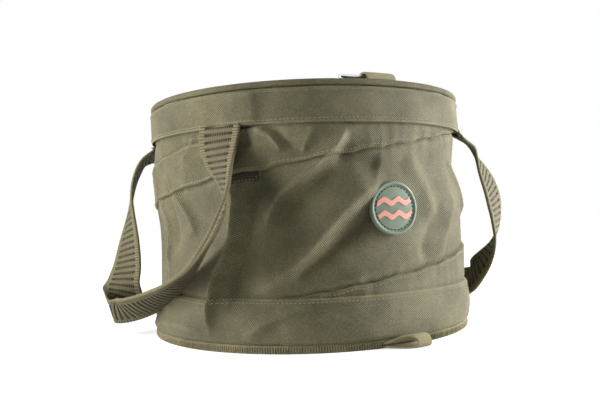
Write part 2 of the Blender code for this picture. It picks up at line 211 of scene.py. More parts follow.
# %% Colour and map helpers
def mixed(tree, share, first, second, blend="MIX"):
    """A mix of two colours."""
    settings = {"data_type": "RGBA", "blend_type": blend}
    return node(tree, "ShaderNodeMix", 2, settings, i0=share, i6=first, i7=second)


def tinted(tree, share, first, second):
    """A mix of two colours by a share that is first held between 0 and 1."""
    return mixed(tree, node(tree, "ShaderNodeClamp", Value=share), first, second)


def axes(tree, vector):
    """The three numbers of a vector."""
    split = tree.nodes.new("ShaderNodeSeparateXYZ")
    tree.links.new(vector, split.inputs[0])
    return split.outputs


def cloth_map(tree):
    """The piece's own UV map, in metres."""
    return node(tree, "ShaderNodeUVMap", settings={"uv_map": "cloth"})


# %% Group helper
def group(name, inlets, outlets):
    """An empty node group with named inputs, with their default values, and named outputs."""
    made = bpy.data.node_groups.new(name, "ShaderNodeTree")
    for inlet, value in inlets.items():
        kind = "NodeSocketVector" if inlet == "Vector" else "NodeSocketFloat"
        socket = made.interface.new_socket(inlet, in_out="INPUT", socket_type=kind)
        if value is not None:
            socket.default_value = value
    for outlet in outlets:
        made.interface.new_socket(outlet, in_out="OUTPUT", socket_type="NodeSocketFloat")
    given = made.nodes.new("NodeGroupInput")
    result = made.nodes.new("NodeGroupOutput")
    return made, given.outputs, result.inputs


# %% [markdown]
# ### The weave
# The wall cloth is a polyester twill: fine diagonal ribs a little over a millimetre apart, each one a chain
# of small thread floats. Two sine waves make it, one across the ribs and one along them. It reads a UV map
# in metres, so the ribs keep their size wherever the cloth bends. A picture of cloth would do too, but a
# formula has no seam where it repeats. `Pitch` is the ribs' distance along either side of the map, in mm.

# %% Twill weave group
FLOATS_PER_RIB = 1.6
RIB_WOBBLE = 1.4


def make_twill():
    """Height and shade of a twill: a sine across the diagonal, broken up by a finer one along it."""
    inlets = {"Vector": None, "Pitch": 1.0, "Break": 0.35}
    made, given, result = group("twill weave", inlets, ["Height", "Shade"])
    side, up, _ = axes(made, given["Vector"])
    turn = maths(made, "DIVIDE", 2 * math.pi / MM, given["Pitch"])
    across = maths(made, "MULTIPLY", maths(made, "ADD", side, up), turn)
    along = maths(made, "MULTIPLY", maths(made, "SUBTRACT", side, up), turn)
    noise = node(made, "ShaderNodeTexNoise", Vector=given["Vector"], Scale=420.0, Detail=2.0)
    rib = sine_mask(made, maths(made, "ADD", across, maths(made, "MULTIPLY", noise, RIB_WOBBLE)))
    floats = sine_mask(made, maths(made, "MULTIPLY", along, FLOATS_PER_RIB))
    height = maths(made, "MULTIPLY", rib, maths(made, "MULTIPLY_ADD", floats, given["Break"], 0.65))
    made.links.new(height, result["Height"])
    made.links.new(rib, result["Shade"])
    return made


TWILL = make_twill()
print("the twill has", len(TWILL.nodes), "nodes")


# %% [markdown]
# ### Wear, handling and a painted highlight
# Cloth that has been folded has pale, slightly dusty patches and darker ones. Noise at two sizes gives them.
# The ridge mask comes from the mesh's own sharp convex places, where cloth rubs first and goes pale; the
# same paleness is also a painted highlight for the sheen that crests catch from the lamps.

# %% Mottle group
def make_mottle():
    """Masks for uneven colour: broad cloudy patches, fine fibre specks, and pale ridges, partly rubbed wear
    and partly a painted highlight.
    """
    made, given, result = group("mottle", {"Vector": None, "Size": 1.0}, ["Cloud", "Speck", "WearAndHighlight"])
    settings = {"operation": "SCALE"}
    scaled = node(made, "ShaderNodeVectorMath", settings=settings, i0=given["Vector"], Scale=given["Size"])
    broad = node(made, "ShaderNodeTexNoise", Vector=scaled, Scale=22.0, Detail=4.0, Roughness=0.6)
    fine = node(made, "ShaderNodeTexNoise", Vector=scaled, Scale=900.0, Detail=2.0, Roughness=0.6)
    edge = node(made, "ShaderNodeNewGeometry", "Pointiness")
    # pale convex ridges: rubbed wear, and a painted highlight where crests would catch the sheen
    wear_and_highlight = node(made, "ShaderNodeMapRange", Value=edge, From_Min=0.50, From_Max=0.60)
    made.links.new(broad, result["Cloud"])
    made.links.new(fine, result["Speck"])
    made.links.new(wear_and_highlight, result["WearAndHighlight"])
    return made


MOTTLE = make_mottle()
print("the mottle has", len(MOTTLE.nodes), "nodes")


# %% Material helpers
def use(tree, shared, **inputs):
    """Places a shared group in a material and gives its outputs by name."""
    made = tree.nodes.new("ShaderNodeGroup")
    made.node_tree = shared
    feed(tree, made, **inputs)
    return made.outputs


def mottled(tree):
    """The mottle's masks over a piece, by its Object coordinates."""
    return use(tree, MOTTLE, Vector=node(tree, "ShaderNodeTexCoord", "Object"))


def fresh(name, roughness, sheen=0.0, specular=0.5, metallic=0.0):
    """A new material: its node tree and its Principled shader."""
    made = bpy.data.materials.new(name)
    made.use_nodes = True
    shader = made.node_tree.nodes["Principled BSDF"]
    feed(made.node_tree, shader, Roughness=roughness, Sheen_Weight=sheen, Metallic=metallic)
    feed(made.node_tree, shader, Specular_IOR_Level=specular)
    print("material", name, "has a roughness of about", roughness)
    return made, made.node_tree, shader


def srgb(*levels):
    """A linear colour from the 0 to 255 numbers of a picture: the sRGB curve, straight near black."""
    shares = [level / 255 for level in levels]
    linear = [((share + 0.055) / 1.055) ** 2.4 if share > 0.04045 else share / 12.92 for share in shares]
    return (*linear, 1.0)


def bump(tree, shader, height, strength, distance):
    """Feeds a height in millimetres to the shader's normal."""
    normal = node(tree, "ShaderNodeBump", Height=height, Strength=strength, Distance=distance * MM)
    feed(tree, shader, Normal=normal)


# %% [markdown]
# ## The floor and the room
# The floor is a large pale sheet that takes the bucket's shadow. The camera sees it as nearly white: an
# emission of 1 is white, and a share of the plain diffuse surface is left in, so that the shadow stays. The
# glow is weaker near the bucket, where the shadow is, and grows outwards. The room's own light is a dim
# grey, because the lamps shape the folds and a bright room would wash them out.

# %% Floor and world
FLOOR_HALF = 3.0
ROOM_GREY = (0.026, 0.026, 0.027, 1)
WHITE = (1, 1, 1, 1)


def seen_white(tree):
    """One for a ray from the camera or one sent on by a mirror or glass, and zero for light."""
    path = tree.nodes.new("ShaderNodeLightPath").outputs
    sent_on = maths(tree, "MAXIMUM", path["Is Glossy Ray"], path["Is Transmission Ray"])
    return maths(tree, "MAXIMUM", path["Is Camera Ray"], sent_on)


def make_floor():
    """A square sheet at height zero; its glow grows with the distance from the bucket's axis."""
    mesh = bpy.data.meshes.new("floor")
    low, high = -FLOOR_HALF, FLOOR_HALF
    mesh.from_pydata([(low, low, 0), (high, low, 0), (high, high, 0), (low, high, 0)], [], [(0, 1, 2, 3)])
    floor = bpy.data.objects.new("floor", mesh)
    bpy.context.scene.collection.objects.link(floor)
    made, tree, shader = fresh("white_floor", 0.9, specular=0.1)
    solid = node(tree, "ShaderNodeTexCoord", "Object")
    far = node(tree, "ShaderNodeVectorMath", 1, {"operation": "LENGTH"}, i0=solid)
    glow = node(tree, "ShaderNodeMapRange", Value=far, From_Min=0.26, From_Max=0.8, To_Min=0.62, To_Max=1.0)
    feed(tree, shader, Base_Color=(0.80, 0.80, 0.80, 1), Emission_Color=WHITE,
         Emission_Strength=maths(tree, "MULTIPLY", seen_white(tree), glow))
    mesh.materials.append(made)
    floor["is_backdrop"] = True


def make_world():
    """A grey room that is seen as white."""
    world = bpy.data.worlds.new("room")
    bpy.context.scene.world = world
    world.use_nodes = True
    tree = world.node_tree
    feed(tree, tree.nodes["Background"], Color=mixed(tree, seen_white(tree), ROOM_GREY, WHITE))


make_floor()
make_world()
bpy.context.scene.view_settings.view_transform = "Standard"


# %% [markdown]
# ## Cloth materials
# One recipe serves the wall cloth, the liner, the bead and the binding with their own colours: weave, cloudy
# patches, specks and pale ridges on the colour, which are rubbed wear and a painted highlight on the crests,
# and the weave again on the bump.

# %% Wall cloth, liner and bead cloth
def cloth(name, dark, pale, roughness, pitch=1.0, weave=1.0, sheen=0.06):
    """Cloth between a dark and a pale colour. The share of the pale one is a sum: the weave's ribs, pitch mm
    apart on the map, the clouds and specks of the mottle about their middle, and its pale ridges: rubbed
    wear and a painted highlight."""
    made, tree, shader = fresh(name, roughness, sheen, specular=0.25)
    twill = use(tree, TWILL, Vector=cloth_map(tree), Pitch=pitch)
    mottle = mottled(tree)
    share = maths(tree, "MULTIPLY_ADD", twill["Shade"], 0.75 * weave, 0.02)
    share = spread(tree, mottle["Cloud"], 1.25, share)
    share = spread(tree, mottle["Speck"], 1.1, share)
    # painted highlight and rubbed wear: the mesh's convex crests go paler
    share = maths(tree, "MULTIPLY_ADD", mottle["WearAndHighlight"], 0.6, share)
    rough = maths(tree, "MULTIPLY_ADD", mottle["Cloud"], -0.20, roughness + 0.10)
    feed(tree, shader, Base_Color=tinted(tree, share, dark, pale), Roughness=rough, Sheen_Roughness=0.5)
    threads = maths(tree, "MULTIPLY", twill["Height"], weave)
    height = maths(tree, "MULTIPLY_ADD", mottle["Speck"], 0.5, threads)
    bump(tree, shader, height, strength=1.0, distance=0.42)
    return made


WALL_CLOTH = cloth("wall_cloth", srgb(70, 67, 48), srgb(148, 142, 108), 0.66, pitch=1.8)
LINER_CLOTH = cloth("liner_cloth", srgb(58, 57, 42), srgb(92, 89, 66), 0.45, weave=0.5, sheen=0.05)
BEAD_CLOTH = cloth("bead_cloth", srgb(68, 65, 46), srgb(138, 132, 100), 0.75, pitch=1.2)
BINDING_TAPE = cloth("binding_tape", srgb(90, 84, 60), srgb(174, 165, 125), 0.75, pitch=1.2, weave=0.3)


# %% [markdown]
# ## Meshes from arrays
# Every soft piece is a row of closed outlines, one after another: a wall is an outline of outer and inner
# surface carried round the bucket, and a strap is one carried along its path. `skin` joins the outlines with
# quads, closes the run on itself or caps its ends, turns the faces outwards and stores a UV map in metres.

# %% The skin function
def skin(name, sections, material, closed=True, flat=None):
    """Sections is an array (count, points, 3) in mm of closed outlines. The quads join outline i to i + 1
    and point j to j + 1. An open run is capped by quads that join points j and points - 1 - j. flat, an
    array (count + 1 or count, points + 1, 2) in mm, holds the UV map."""
    count, points, _ = sections.shape
    if flat is None:
        flat = outline_map(sections, closed)
    rows = np.arange(count if closed else count - 1)[:, None]
    across = np.arange(points)[None, :]
    near = rows * points
    far = ((rows + 1) % count) * points
    after = (across + 1) % points
    quads = np.stack([near + across, near + after, far + after, far + across], -1).reshape(-1, 4)
    wide = points + 1
    maps = np.stack([rows * wide + across, rows * wide + across + 1, (rows + 1) * wide + across + 1,
                     (rows + 1) * wide + across], -1).reshape(-1, 4)
    if not closed:
        half = np.arange(points // 2 - 1)
        cap = np.stack([half, points - 1 - half, points - 2 - half, half + 1], -1)
        last = (count - 1) * points
        quads = np.concatenate([quads, cap, (cap + last)[:, ::-1]])
        maps = np.concatenate([maps, cap, (cap + (count - 1) * wide)[:, ::-1]])
    spots = sections.reshape(-1, 3)
    first, second, third, fourth = (spots[quads[:, k]] for k in range(4))
    volume = np.einsum("ij,ij->", first, np.cross(second, third) + np.cross(third, fourth))
    if volume < 0:
        quads = quads[:, ::-1]
        maps = maps[:, ::-1]
    return to_object(name, spots, quads, flat.reshape(-1, 2)[maps.reshape(-1)], material)


# %% Lengths for the UV map
def outline_map(sections, closed):
    """Distance along the run and distance round the outline, in mm, for each corner of the grid."""
    looped = np.concatenate([sections, sections[:, :1]], 1)
    if closed:
        looped = np.concatenate([looped, looped[:1]], 0)
    round_it = np.cumsum(np.linalg.norm(np.diff(looped, axis=1, prepend=looped[:, :1]), axis=2), 1)
    middle = looped.mean(1)
    along = np.cumsum(np.linalg.norm(np.diff(middle, axis=0, prepend=middle[:1]), axis=1))
    return np.stack([np.broadcast_to(along[:, None], round_it.shape), round_it], -1)


# %% From arrays to an object
def to_object(name, spots, quads, corner_maps, material):
    """Puts arrays of points in mm and quads into a smooth-shaded mesh object at the origin."""
    mesh = bpy.data.meshes.new(name)
    mesh.vertices.add(len(spots))
    mesh.vertices.foreach_set("co", (spots * MM).astype(np.float32).ravel())
    mesh.loops.add(quads.size)
    mesh.loops.foreach_set("vertex_index", quads.astype(np.int32).ravel())
    mesh.polygons.add(len(quads))
    mesh.polygons.foreach_set("loop_start", np.arange(0, quads.size, quads.shape[1], dtype=np.int32))
    mesh.update(calc_edges=True)
    mesh.polygons.foreach_set("use_smooth", np.ones(len(quads), bool))
    if corner_maps is not None:
        layer = mesh.uv_layers.new(name="cloth")
        layer.data.foreach_set("uv", (corner_maps * MM).astype(np.float32).ravel())
    mesh.validate()
    mesh.set_sharp_from_angle(angle=math.radians(50))
    mesh.materials.append(material)
    made = bpy.data.objects.new(name, mesh)
    bpy.context.scene.collection.objects.link(made)
    print(f"{name}: {2 * len(quads)} triangles")
    return made


# %% [markdown]
# Round pieces are written in an azimuth in degrees, zero at the badge and growing to the right as seen from
# outside, a radius and a height.

# %% Round coordinates and tables
def around(azimuth, radius, height):
    """Points from azimuth in degrees, radius and height, arrays of one shape."""
    azimuth, radius, height = np.broadcast_arrays(azimuth, radius, height)
    turn = np.radians(azimuth)
    return np.stack([radius * np.sin(turn), -radius * np.cos(turn), height], -1)


def wrapped(azimuth):
    """The same azimuth between -180 and 180."""
    return (np.asarray(azimuth) + 180.0) % 360.0 - 180.0


def smooth_curve(at, knots, values):
    """A cubic Hermite curve through (knots, values), with slopes from the neighbouring knots."""
    knots = np.asarray(knots, float)
    values = np.asarray(values, float)
    slopes = np.gradient(values, knots)
    at = np.clip(at, knots[0], knots[-1])
    cell = np.clip(np.searchsorted(knots, at, side="right") - 1, 0, len(knots) - 2)
    width = knots[cell + 1] - knots[cell]
    t = (at - knots[cell]) / width
    rest = 1 - t
    return (values[cell] * (1 + 2 * t) * rest**2 + slopes[cell] * width * t * rest**2
            + values[cell + 1] * t**2 * (3 - 2 * t) - slopes[cell + 1] * width * t**2 * rest)


def smooth_step(t):
    """Zero below 0, one above 1 and an S curve between."""
    t = np.clip(t, 0.0, 1.0)
    return t * t * (3 - 2 * t)


def run_of(points):
    """The distance along a line of points, from zero at the first one."""
    return np.concatenate([[0], np.cumsum(np.linalg.norm(np.diff(points, axis=0), axis=1))])


def unit(vectors):
    """The same directions with a length of one."""
    return vectors / np.linalg.norm(vectors, axis=-1, keepdims=True)


# %% [markdown]
# ## The slack wall
# The wall is one surface: a radius for every azimuth and height. It starts from the outline that the
# photograph shows at its left and right edge, goes smoothly from one to the other round the bucket, and then
# gets its folds. Each outline is a list of (height, radius), in mm.

# %% The wall's outlines
LEFT_OUTLINE = [(0, 137.6), (8, 137.2), (20, 136.2), (30, 134.9), (43, 133.6), (63, 133.2), (86, 133.2),
                (99, 133.4), (110, 134.6), (120, 135.7), (131, 136.9), (147, 136.4), (165, 135.6),
                (176, 136.2)]
FRONT_OUTLINE = [(0, 138.6), (12, 139.2), (25, 139.2), (43, 138.4), (60, 137.9), (86, 137.4), (110, 137.2),
                 (131, 137.2), (147, 137.4), (165, 137.5), (176, 137.7)]
RIGHT_OUTLINE = [(0, 141.0), (16, 142.0), (30, 141.7), (43, 141.3), (54, 141.0), (74, 141.3), (92, 141.4),
                 (105, 141.2), (118, 140.0), (128, 138.0), (135, 136.0), (140, 135.2), (146, 135.7),
                 (159, 137.3), (169, 138.2), (176, 138.9)]
REAR_OUTLINE = [(0, 138.6), (12, 139.2), (30, 138.6), (43, 137.8), (70, 136.4), (100, 135.4), (130, 136.3),
                (155, 137.3), (176, 137.6)]
OUTLINE_AZIMUTHS = [-180, -106, -25, 49, 115, 180]
OUTLINES = [REAR_OUTLINE, LEFT_OUTLINE, FRONT_OUTLINE, RIGHT_OUTLINE, REAR_OUTLINE, REAR_OUTLINE]


def plain_wall(azimuth, height):
    """The wall's radius without folds: each outline's curve at the height, joined round by S curves."""
    azimuth = wrapped(azimuth)
    rings = [smooth_curve(height, *zip(*outline)) for outline in OUTLINES]
    result = rings[0]
    for first, second, ring in zip(OUTLINE_AZIMUTHS, OUTLINE_AZIMUTHS[1:], rings[1:]):
        share = smooth_step((azimuth - first) / (second - first))
        result = result + (ring - result) * share
    return result


print(len(OUTLINES), "outlines of the wall")


# %% [markdown]
# ### Folds
# A fold is a line on the wall, a rise, which is how far it stands out, and a width. A valley has a negative
# rise. Its profile across the line is a bell, with its own width on each side, because cloth pulled from one
# corner makes a long slope and a short one. Its ends fade out. The lines were read off the photograph as
# (azimuth in degrees, height in mm). A cloth simulation would make folds too, but not these ones.

# %% The folds of the front
FOLDS = [
    # rise, width on the left of a line that goes down, width on its right, sharpness, points
    (9.5, 17.0, 4.4, 1.3, [(-49.1, 152), (-50.0, 142), (-50.7, 124), (-51.6, 102), (-52.4, 88), (-54.7, 74),
                           (-59.2, 55), (-60.5, 33), (-61.5, 8)]),
    (-9.0, 6.0, 22.0, 1.4, [(-42.0, 152), (-43, 138), (-44.6, 116), (-47.2, 86), (-50.6, 62), (-53, 44),
                            (-54.6, 26)]),
    (7.6, 7.0, 4.6, 1.5, [(-14, 170), (-17, 158), (-21, 147), (-27.1, 134.6), (-32.8, 123.4), (-37.2, 115.3),
                          (-40.2, 103.8), (-43, 90)]),
    (8.8, 17.0, 7.6, 1.8, [(-2, 132), (-7.3, 121.8), (-12.2, 113.9), (-16.5, 105.4), (-20.7, 95.4),
                           (-25.2, 82.6), (-29.5, 71.3), (-38.2, 55.4), (-49, 41)]),
    (-3.4, 6.0, 8.0, 1.7, [(-18, 133), (-25, 121), (-31.2, 108.9), (-37, 92), (-43, 76)]),
    (-5.5, 7.0, 7.0, 1.6, [(-2, 108), (-8, 98), (-15.2, 85.3), (-24.2, 69.5), (-34, 50)]),
    (4.8, 9.0, 3.6, 1.4, [(-79, 128), (-77.0, 120), (-73.1, 110), (-69.6, 99), (-67.4, 86)]),
    (4.2, 4.0, 3.0, 1.4, [(-94, 142), (-89.6, 112), (-86.0, 98), (-85.6, 84), (-89.3, 62)]),
    (1.8, 2.5, 2.5, 1.5, [(-84.6, 140), (-80.3, 126), (-79, 116)]),
    (-3.6, 4.5, 4.0, 1.5, [(-84, 140), (-83, 122), (-81, 100), (-80, 76)]),
    (-3.0, 11.0, 10.0, 1.9, [(-19.0, 149), (-12.3, 141), (-4, 133)]),
    (2.6, 8.0, 8.0, 1.9, [(6, 146), (13.3, 121), (18, 92)]),
    (2.6, 7.0, 6.0, 1.8, [(35, 116), (25, 84), (16, 56)]),
    (-2.4, 6.0, 6.0, 1.8, [(25, 106), (15, 84), (10, 62)]),
    (3.4, 5.0, 3.6, 1.6, [(34, 146), (42, 126), (46.7, 112), (48.3, 94)]),
    (-4.2, 3.2, 6.0, 1.6, [(38, 144), (48, 126), (52, 106)]),
    (2.4, 3.0, 3.0, 1.5, [(-44.5, 169), (-42.8, 165.7), (-39.3, 160.7), (-35, 148)]),
    (2.0, 3.0, 3.5, 1.5, [(-27, 169), (-26.7, 161.5), (-27.7, 155.7), (-29.5, 146)]),
    (-2.6, 3.0, 3.0, 1.5, [(-40.5, 170), (-37, 165), (-34, 158), (-31, 150)]),
    (-2.6, 4.0, 5.0, 1.6, [(-47.0, 172), (-46.5, 163), (-46, 152)]),
    (1.6, 3.5, 3.5, 1.6, [(-68, 168), (-69, 158), (-73, 146)]),
    (2.0, 6.0, 5.0, 1.7, [(14, 70), (4, 62), (-8, 56), (-20, 48)]),
    (-2.2, 5.0, 6.0, 1.7, [(-43, 12), (-38, 22), (-30, 30), (-16, 35)]),
    (2.2, 6.0, 5.0, 1.7, [(-50, 8), (-43.4, 21.4), (-36.1, 28.6), (-26, 36)]),
    (2.4, 5.0, 4.5, 1.7, [(-108, 10), (-90, 16), (-77, 17), (-63, 13)]),
]
FADED_SHARE = 0.18
print(len(FOLDS), "folds on the front")


# %% From fold lines to a relief
def smooth_line(points, steps=8):
    """Points on a smooth curve through a few given ones, with each coordinate on its own Hermite curve."""
    points = np.asarray(points, float)
    knots = run_of(points)
    at = np.linspace(0, knots[-1], steps * (len(points) - 1) + 1)
    return np.stack([smooth_curve(at, knots, points[:, k]) for k in range(points.shape[1])], -1)


def fold_field(azimuth, height, folds):
    """The sum of all folds' rises at each (azimuth, height): a bell in the distance to a fold's line, which
    fades over a share of the line at each end."""
    across = np.radians(wrapped(azimuth)) * WALL_RADIUS
    result = np.zeros(np.broadcast(across, height).shape)
    for rise, left, right, sharpness, points in folds:
        points = np.asarray(points, float)
        line = smooth_line(np.stack([np.radians(points[:, 0]) * WALL_RADIUS, points[:, 1]], -1))
        steps = np.diff(line, axis=0)
        lengths = np.linalg.norm(steps, axis=1)
        run = np.concatenate([[0], np.cumsum(lengths)])
        best = np.full(result.shape, np.inf)
        side = np.zeros(result.shape)
        spot = np.zeros(result.shape)
        for start, step, length, before in zip(line, steps, lengths, run):
            x, z = across - start[0], height - start[1]
            along = np.clip((x * step[0] + z * step[1]) / length**2, 0, 1)
            off = np.hypot(x - along * step[0], z - along * step[1])
            nearer = off < best
            best = np.where(nearer, off, best)
            side = np.where(nearer, x * step[1] - z * step[0], side)
            spot = np.where(nearer, before + along * length, spot)
        width = np.where(side > 0, left, right)
        share = spot / run[-1]
        fade = smooth_step(share / FADED_SHARE) * smooth_step((1 - share) / FADED_SHARE)
        result += rise * np.exp(-(best / width) ** sharpness) * fade
    return result


# %% [markdown]
# The sides and the back aren't in the photograph. They get folds of the same kind, drawn with a seeded
# random generator so that they are the same on every run, and the whole wall gets a faint unevenness.

# %% Folds of the back and a faint unevenness
BACK_FROM, BACK_TO = 62, 236
LOWEST_FOLD = 44
WAVE_RISE = 0.16
chance = np.random.default_rng(20)


def back_folds(count):
    """Slanting folds between the rim and the bottom band, spread round the sides and the back."""
    made = []
    for index in range(count):
        azimuth = BACK_FROM + (BACK_TO - BACK_FROM) * (index + chance.uniform(0.2, 0.8)) / count
        top = chance.uniform(105, 160)
        length = chance.uniform(40, 85)
        lean_deg = chance.choice([-1, 1]) * chance.uniform(6, 20)
        bow = chance.uniform(-4, 4)
        rise = chance.uniform(2.5, 5.5) * chance.choice([1, -1], p=[0.6, 0.4])
        widths = chance.uniform(4, 9, 2)
        points = [(wrapped(azimuth + lean_deg * t + bow * math.sin(math.pi * t)),
                   max(top - length * t, LOWEST_FOLD)) for t in (0, 0.33, 0.67, 1)]
        if max(p[0] for p in points) - min(p[0] for p in points) < 180:
            made.append((rise, *widths, 1.7, points))
    return made


WAVES = [(chance.integers(3, 12), chance.uniform(25, 70), chance.uniform(0, 6.28, 2)) for _ in range(9)]
ALL_FOLDS = FOLDS + back_folds(18)


def unevenness(azimuth, height):
    """A few low sine waves, multiplied: whole waves round the bucket, and waves of some cm up it."""
    result = 0
    for count, length, (first, second) in WAVES:
        wave = np.sin(np.radians(azimuth) * count + first) * np.sin(2 * np.pi * height / length + second)
        result = result + wave
    return WAVE_RISE * result


print(len(ALL_FOLDS), "folds")


# %% [markdown]
# ### The spiral band's edges
# A second layer of cloth is sewn on as a band that climbs once round the wall. Its two edges are straight
# lines on the unrolled wall. The seams also draw the wall in, in short puckers across the stitches.

# %% Where the spiral band runs
SPIRAL_PITCH_PER_DEG = 133.0 / 360.0
SPIRAL_AT_FRONT = 152.5
SPIRAL_WIDTH = 33.0
SPIRAL_TUCK = 2.0
SPIRAL_TOP = RIM_EDGE + 1.0
SPIRAL_FIRST = (FOLD_START - SPIRAL_WIDTH - SPIRAL_AT_FRONT - SPIRAL_TUCK) / SPIRAL_PITCH_PER_DEG
SPIRAL_LAST = (SPIRAL_TOP - SPIRAL_AT_FRONT) / SPIRAL_PITCH_PER_DEG
TURNS = (0, -360, 360)
print("the spiral band runs from azimuth", round(SPIRAL_FIRST), "to", round(SPIRAL_LAST))


def spiral_lower(azimuth):
    """The height of the band's lower edge: a straight climb, with the small waves of a hand-guided seam. The
    azimuth counts on past -180 for the lower stretch."""
    waves = 0.55 * np.sin(0.50 * azimuth + 0.8 * np.sin(0.13 * azimuth)) + 0.15 * np.sin(1.31 * azimuth + 2)
    return SPIRAL_AT_FRONT + SPIRAL_PITCH_PER_DEG * azimuth + waves


def seam_distances(azimuth, height):
    """How far above (below: negative) each stretch's lower and upper edge a point of the wall lies."""
    azimuth = wrapped(azimuth)
    heights = []
    for turn in TURNS:
        along = azimuth + turn
        inside = (along > SPIRAL_FIRST) & (along < SPIRAL_LAST)
        for rise in (0, SPIRAL_WIDTH):
            heights.append(np.where(inside, height - spiral_lower(along) - rise, 1e3))
    return heights


# %% What the seams do to the wall
PUCKER = 0.24
# how deep thread draws the wall in, and how far from the seam, in mm
SPIRAL_PULL = (1.6, 2.2)
BAND_PULL = (1.0, 2.4)
RIM_PULL = (1.3, 3.2)


def over_band(height):
    """Zero under the bottom band's edge and one above it."""
    return smooth_step((height - BAND_TOP + 2) / 4)


def puckers(azimuth, height):
    """Short ripples across the seams: a sine along the seam that fades within a few mm of it."""
    along = np.radians(azimuth) * WALL_RADIUS
    ripple = np.sin(along / 1.9 + 1.5 * np.sin(along / 13))
    ripple = ripple + 0.7 * np.sin(along / 3.1 + 2 * np.sin(along / 29))
    result = 0
    for off in seam_distances(azimuth, height):
        result = result + ripple * np.exp(-np.abs(off) / 7.0)
    near_rim = np.exp(-np.abs(height - RIM_EDGE) / 9.0)
    near_band = 0.6 * np.exp(-np.abs(height - BAND_TOP) / 7.0)
    return PUCKER * (result * over_band(height) + ripple * (near_rim + near_band))


def drawn_in(free, pull, start=0.0):
    """A bell in the distance from a seam, on its free side only, from a little before the seam."""
    depth, width = pull
    return depth * np.exp(-(free / width) ** 2) * smooth_step((free + start) / 0.8)


def seam_pull(azimuth, height):
    """How far thread pulls the wall in along each seam. A stretch's lower seam is free below it and its
    upper one above it."""
    result = 0
    for index, off in enumerate(seam_distances(azimuth, height)):
        free = -off if index % 2 == 0 else off
        result = result - drawn_in(free, SPIRAL_PULL, 0.6)
    result = result * over_band(height)
    result = result - drawn_in(height - BAND_TOP, BAND_PULL)
    return result - drawn_in(RIM_EDGE - height, RIM_PULL)


def wall(azimuth, height):
    """The outer radius of the wall cloth. Folds fade where it is sewn in, at the foot and under the rim."""
    height = np.asarray(height, float)
    fixed = smooth_step((height - 1) / 12) * smooth_step((WALL_TOP + 4 - height) / 14)
    loose = fold_field(azimuth, height, ALL_FOLDS) + unevenness(azimuth, height) + puckers(azimuth, height)
    return plain_wall(azimuth, height) + loose * fixed + seam_pull(azimuth, height)


front_radius = wall(np.zeros(1), np.full(1, WALL_TOP / 2))[0]
print("half way up its front, the wall's radius is", round(float(front_radius), 1), "mm")


# %% [markdown]
# ### Cloth shells
# Each cloth piece is an outer surface and an inner one, a thickness apart, joined along their edges. Near
# the edges the outer surface rounds over, because a hem is folded cloth.

# %% Shell builder
HEM_ROUND = 0.45


def shell(name, azimuths, bottom, top, outer, thickness, material, rows, closed, hem=0.0, remap=None):
    """A sheet between heights bottom(azimuth) and top(azimuth), whose outer radius is
    outer(azimuth, height). The outline goes up the outside and down the inside, and a hem rounds the edges
    of the outside. remap changes the UV map."""
    share = np.linspace(0, 1, rows)[None, :]
    low = np.asarray(bottom(azimuths))[:, None] if callable(bottom) else bottom
    high = np.asarray(top(azimuths))[:, None] if callable(top) else top
    heights = low + (high - low) * share + np.zeros((len(azimuths), 1))
    turns = azimuths[:, None] + np.zeros_like(heights)
    radius = outer(turns, heights)
    out = radius
    if hem:
        edge = np.minimum(heights - low, high - heights)
        out = radius - (thickness * HEM_ROUND) * (1 - np.clip(edge / hem, 0, 1)) ** 2
    inside = around(turns, radius - thickness, heights)
    sections = np.concatenate([around(turns, out, heights), inside[:, ::-1]], 1)
    along = np.radians(azimuths) * WALL_RADIUS
    flat_v = np.concatenate([heights, heights[:, ::-1], heights[:, :1]], 1)
    flat_u = along[:, None] + np.zeros_like(flat_v)
    if closed:
        flat_v = np.concatenate([flat_v, flat_v[:1]])
        flat_u = np.concatenate([flat_u, flat_u[:1] + 2 * np.pi * WALL_RADIUS])
    flat = np.stack([flat_u, flat_v], -1)
    return skin(name, sections, material, closed, remap(flat) if remap else flat)


def dress(piece, body, replaced=None):
    """Says what a piece moves with and which solid it stands for, whose solid is hidden. The word fold in
    place
    of a body is for the folding wall: its pieces ride on the base, each with a mesh of its own."""
    if body == "fold":
        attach(piece, "base")
        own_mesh(piece)
    else:
        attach(piece, body)
    if replaced:
        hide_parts(replaced)


# %% Wall panels
# thicknesses and heights in mm, and steps round the bucket in degrees
CLOTH = 1.3
STEP_DEG = 0.5
SEAM_DEG = 0.06
WALL_START = FOLD_START - 4
FOOT_PRESS = 0.2
FULL_TURN = np.arange(-180, 180, STEP_DEG)
half_turn = np.linspace(-90 + SEAM_DEG, 90 - SEAM_DEG, 361)
for name, azimuths, rows in (("front_wall", half_turn, 110), ("rear_wall", half_turn + 180, 90)):
    panel = shell(f"{name}_cloth", azimuths, WALL_START, WALL_TOP, wall, CLOTH, WALL_CLOTH, rows,
                  closed=False)
    dress(panel, "fold", f"{name}_panel")


def foot_surface(azimuth, height):
    """The wall's foot, pressed in a little by the bottom band."""
    return wall(azimuth, height) - FOOT_PRESS


foot = shell("wall_foot_cloth", FULL_TURN, BOARD_BOTTOM, FOLD_START - 0.4, foot_surface, CLOTH - FOOT_PRESS,
             WALL_CLOTH, 16, closed=True)
dress(foot, "base")


# %% [markdown]
# ### Liner
# The liner is a second skin inside the wall, of smoother coated cloth. It follows the wall at a small
# distance, with shallower folds, because it has its own seams and isn't glued to the wall. It can't share
# the wall's mesh, since its folds differ, but the same functions give both.

# %% Liner
LINER_FOLLOWS = 0.65
LINER_GAP = 0.35
LINER_THICKNESS = 0.8


def liner_surface(azimuth, height):
    """The liner's outer radius: a mix of the plain wall and the folded one, but always inside the latter."""
    folded = wall(azimuth, height)
    follows = (1 - LINER_FOLLOWS) * plain_wall(azimuth, height) + LINER_FOLLOWS * folded
    return np.minimum(follows, folded) - CLOTH - LINER_GAP


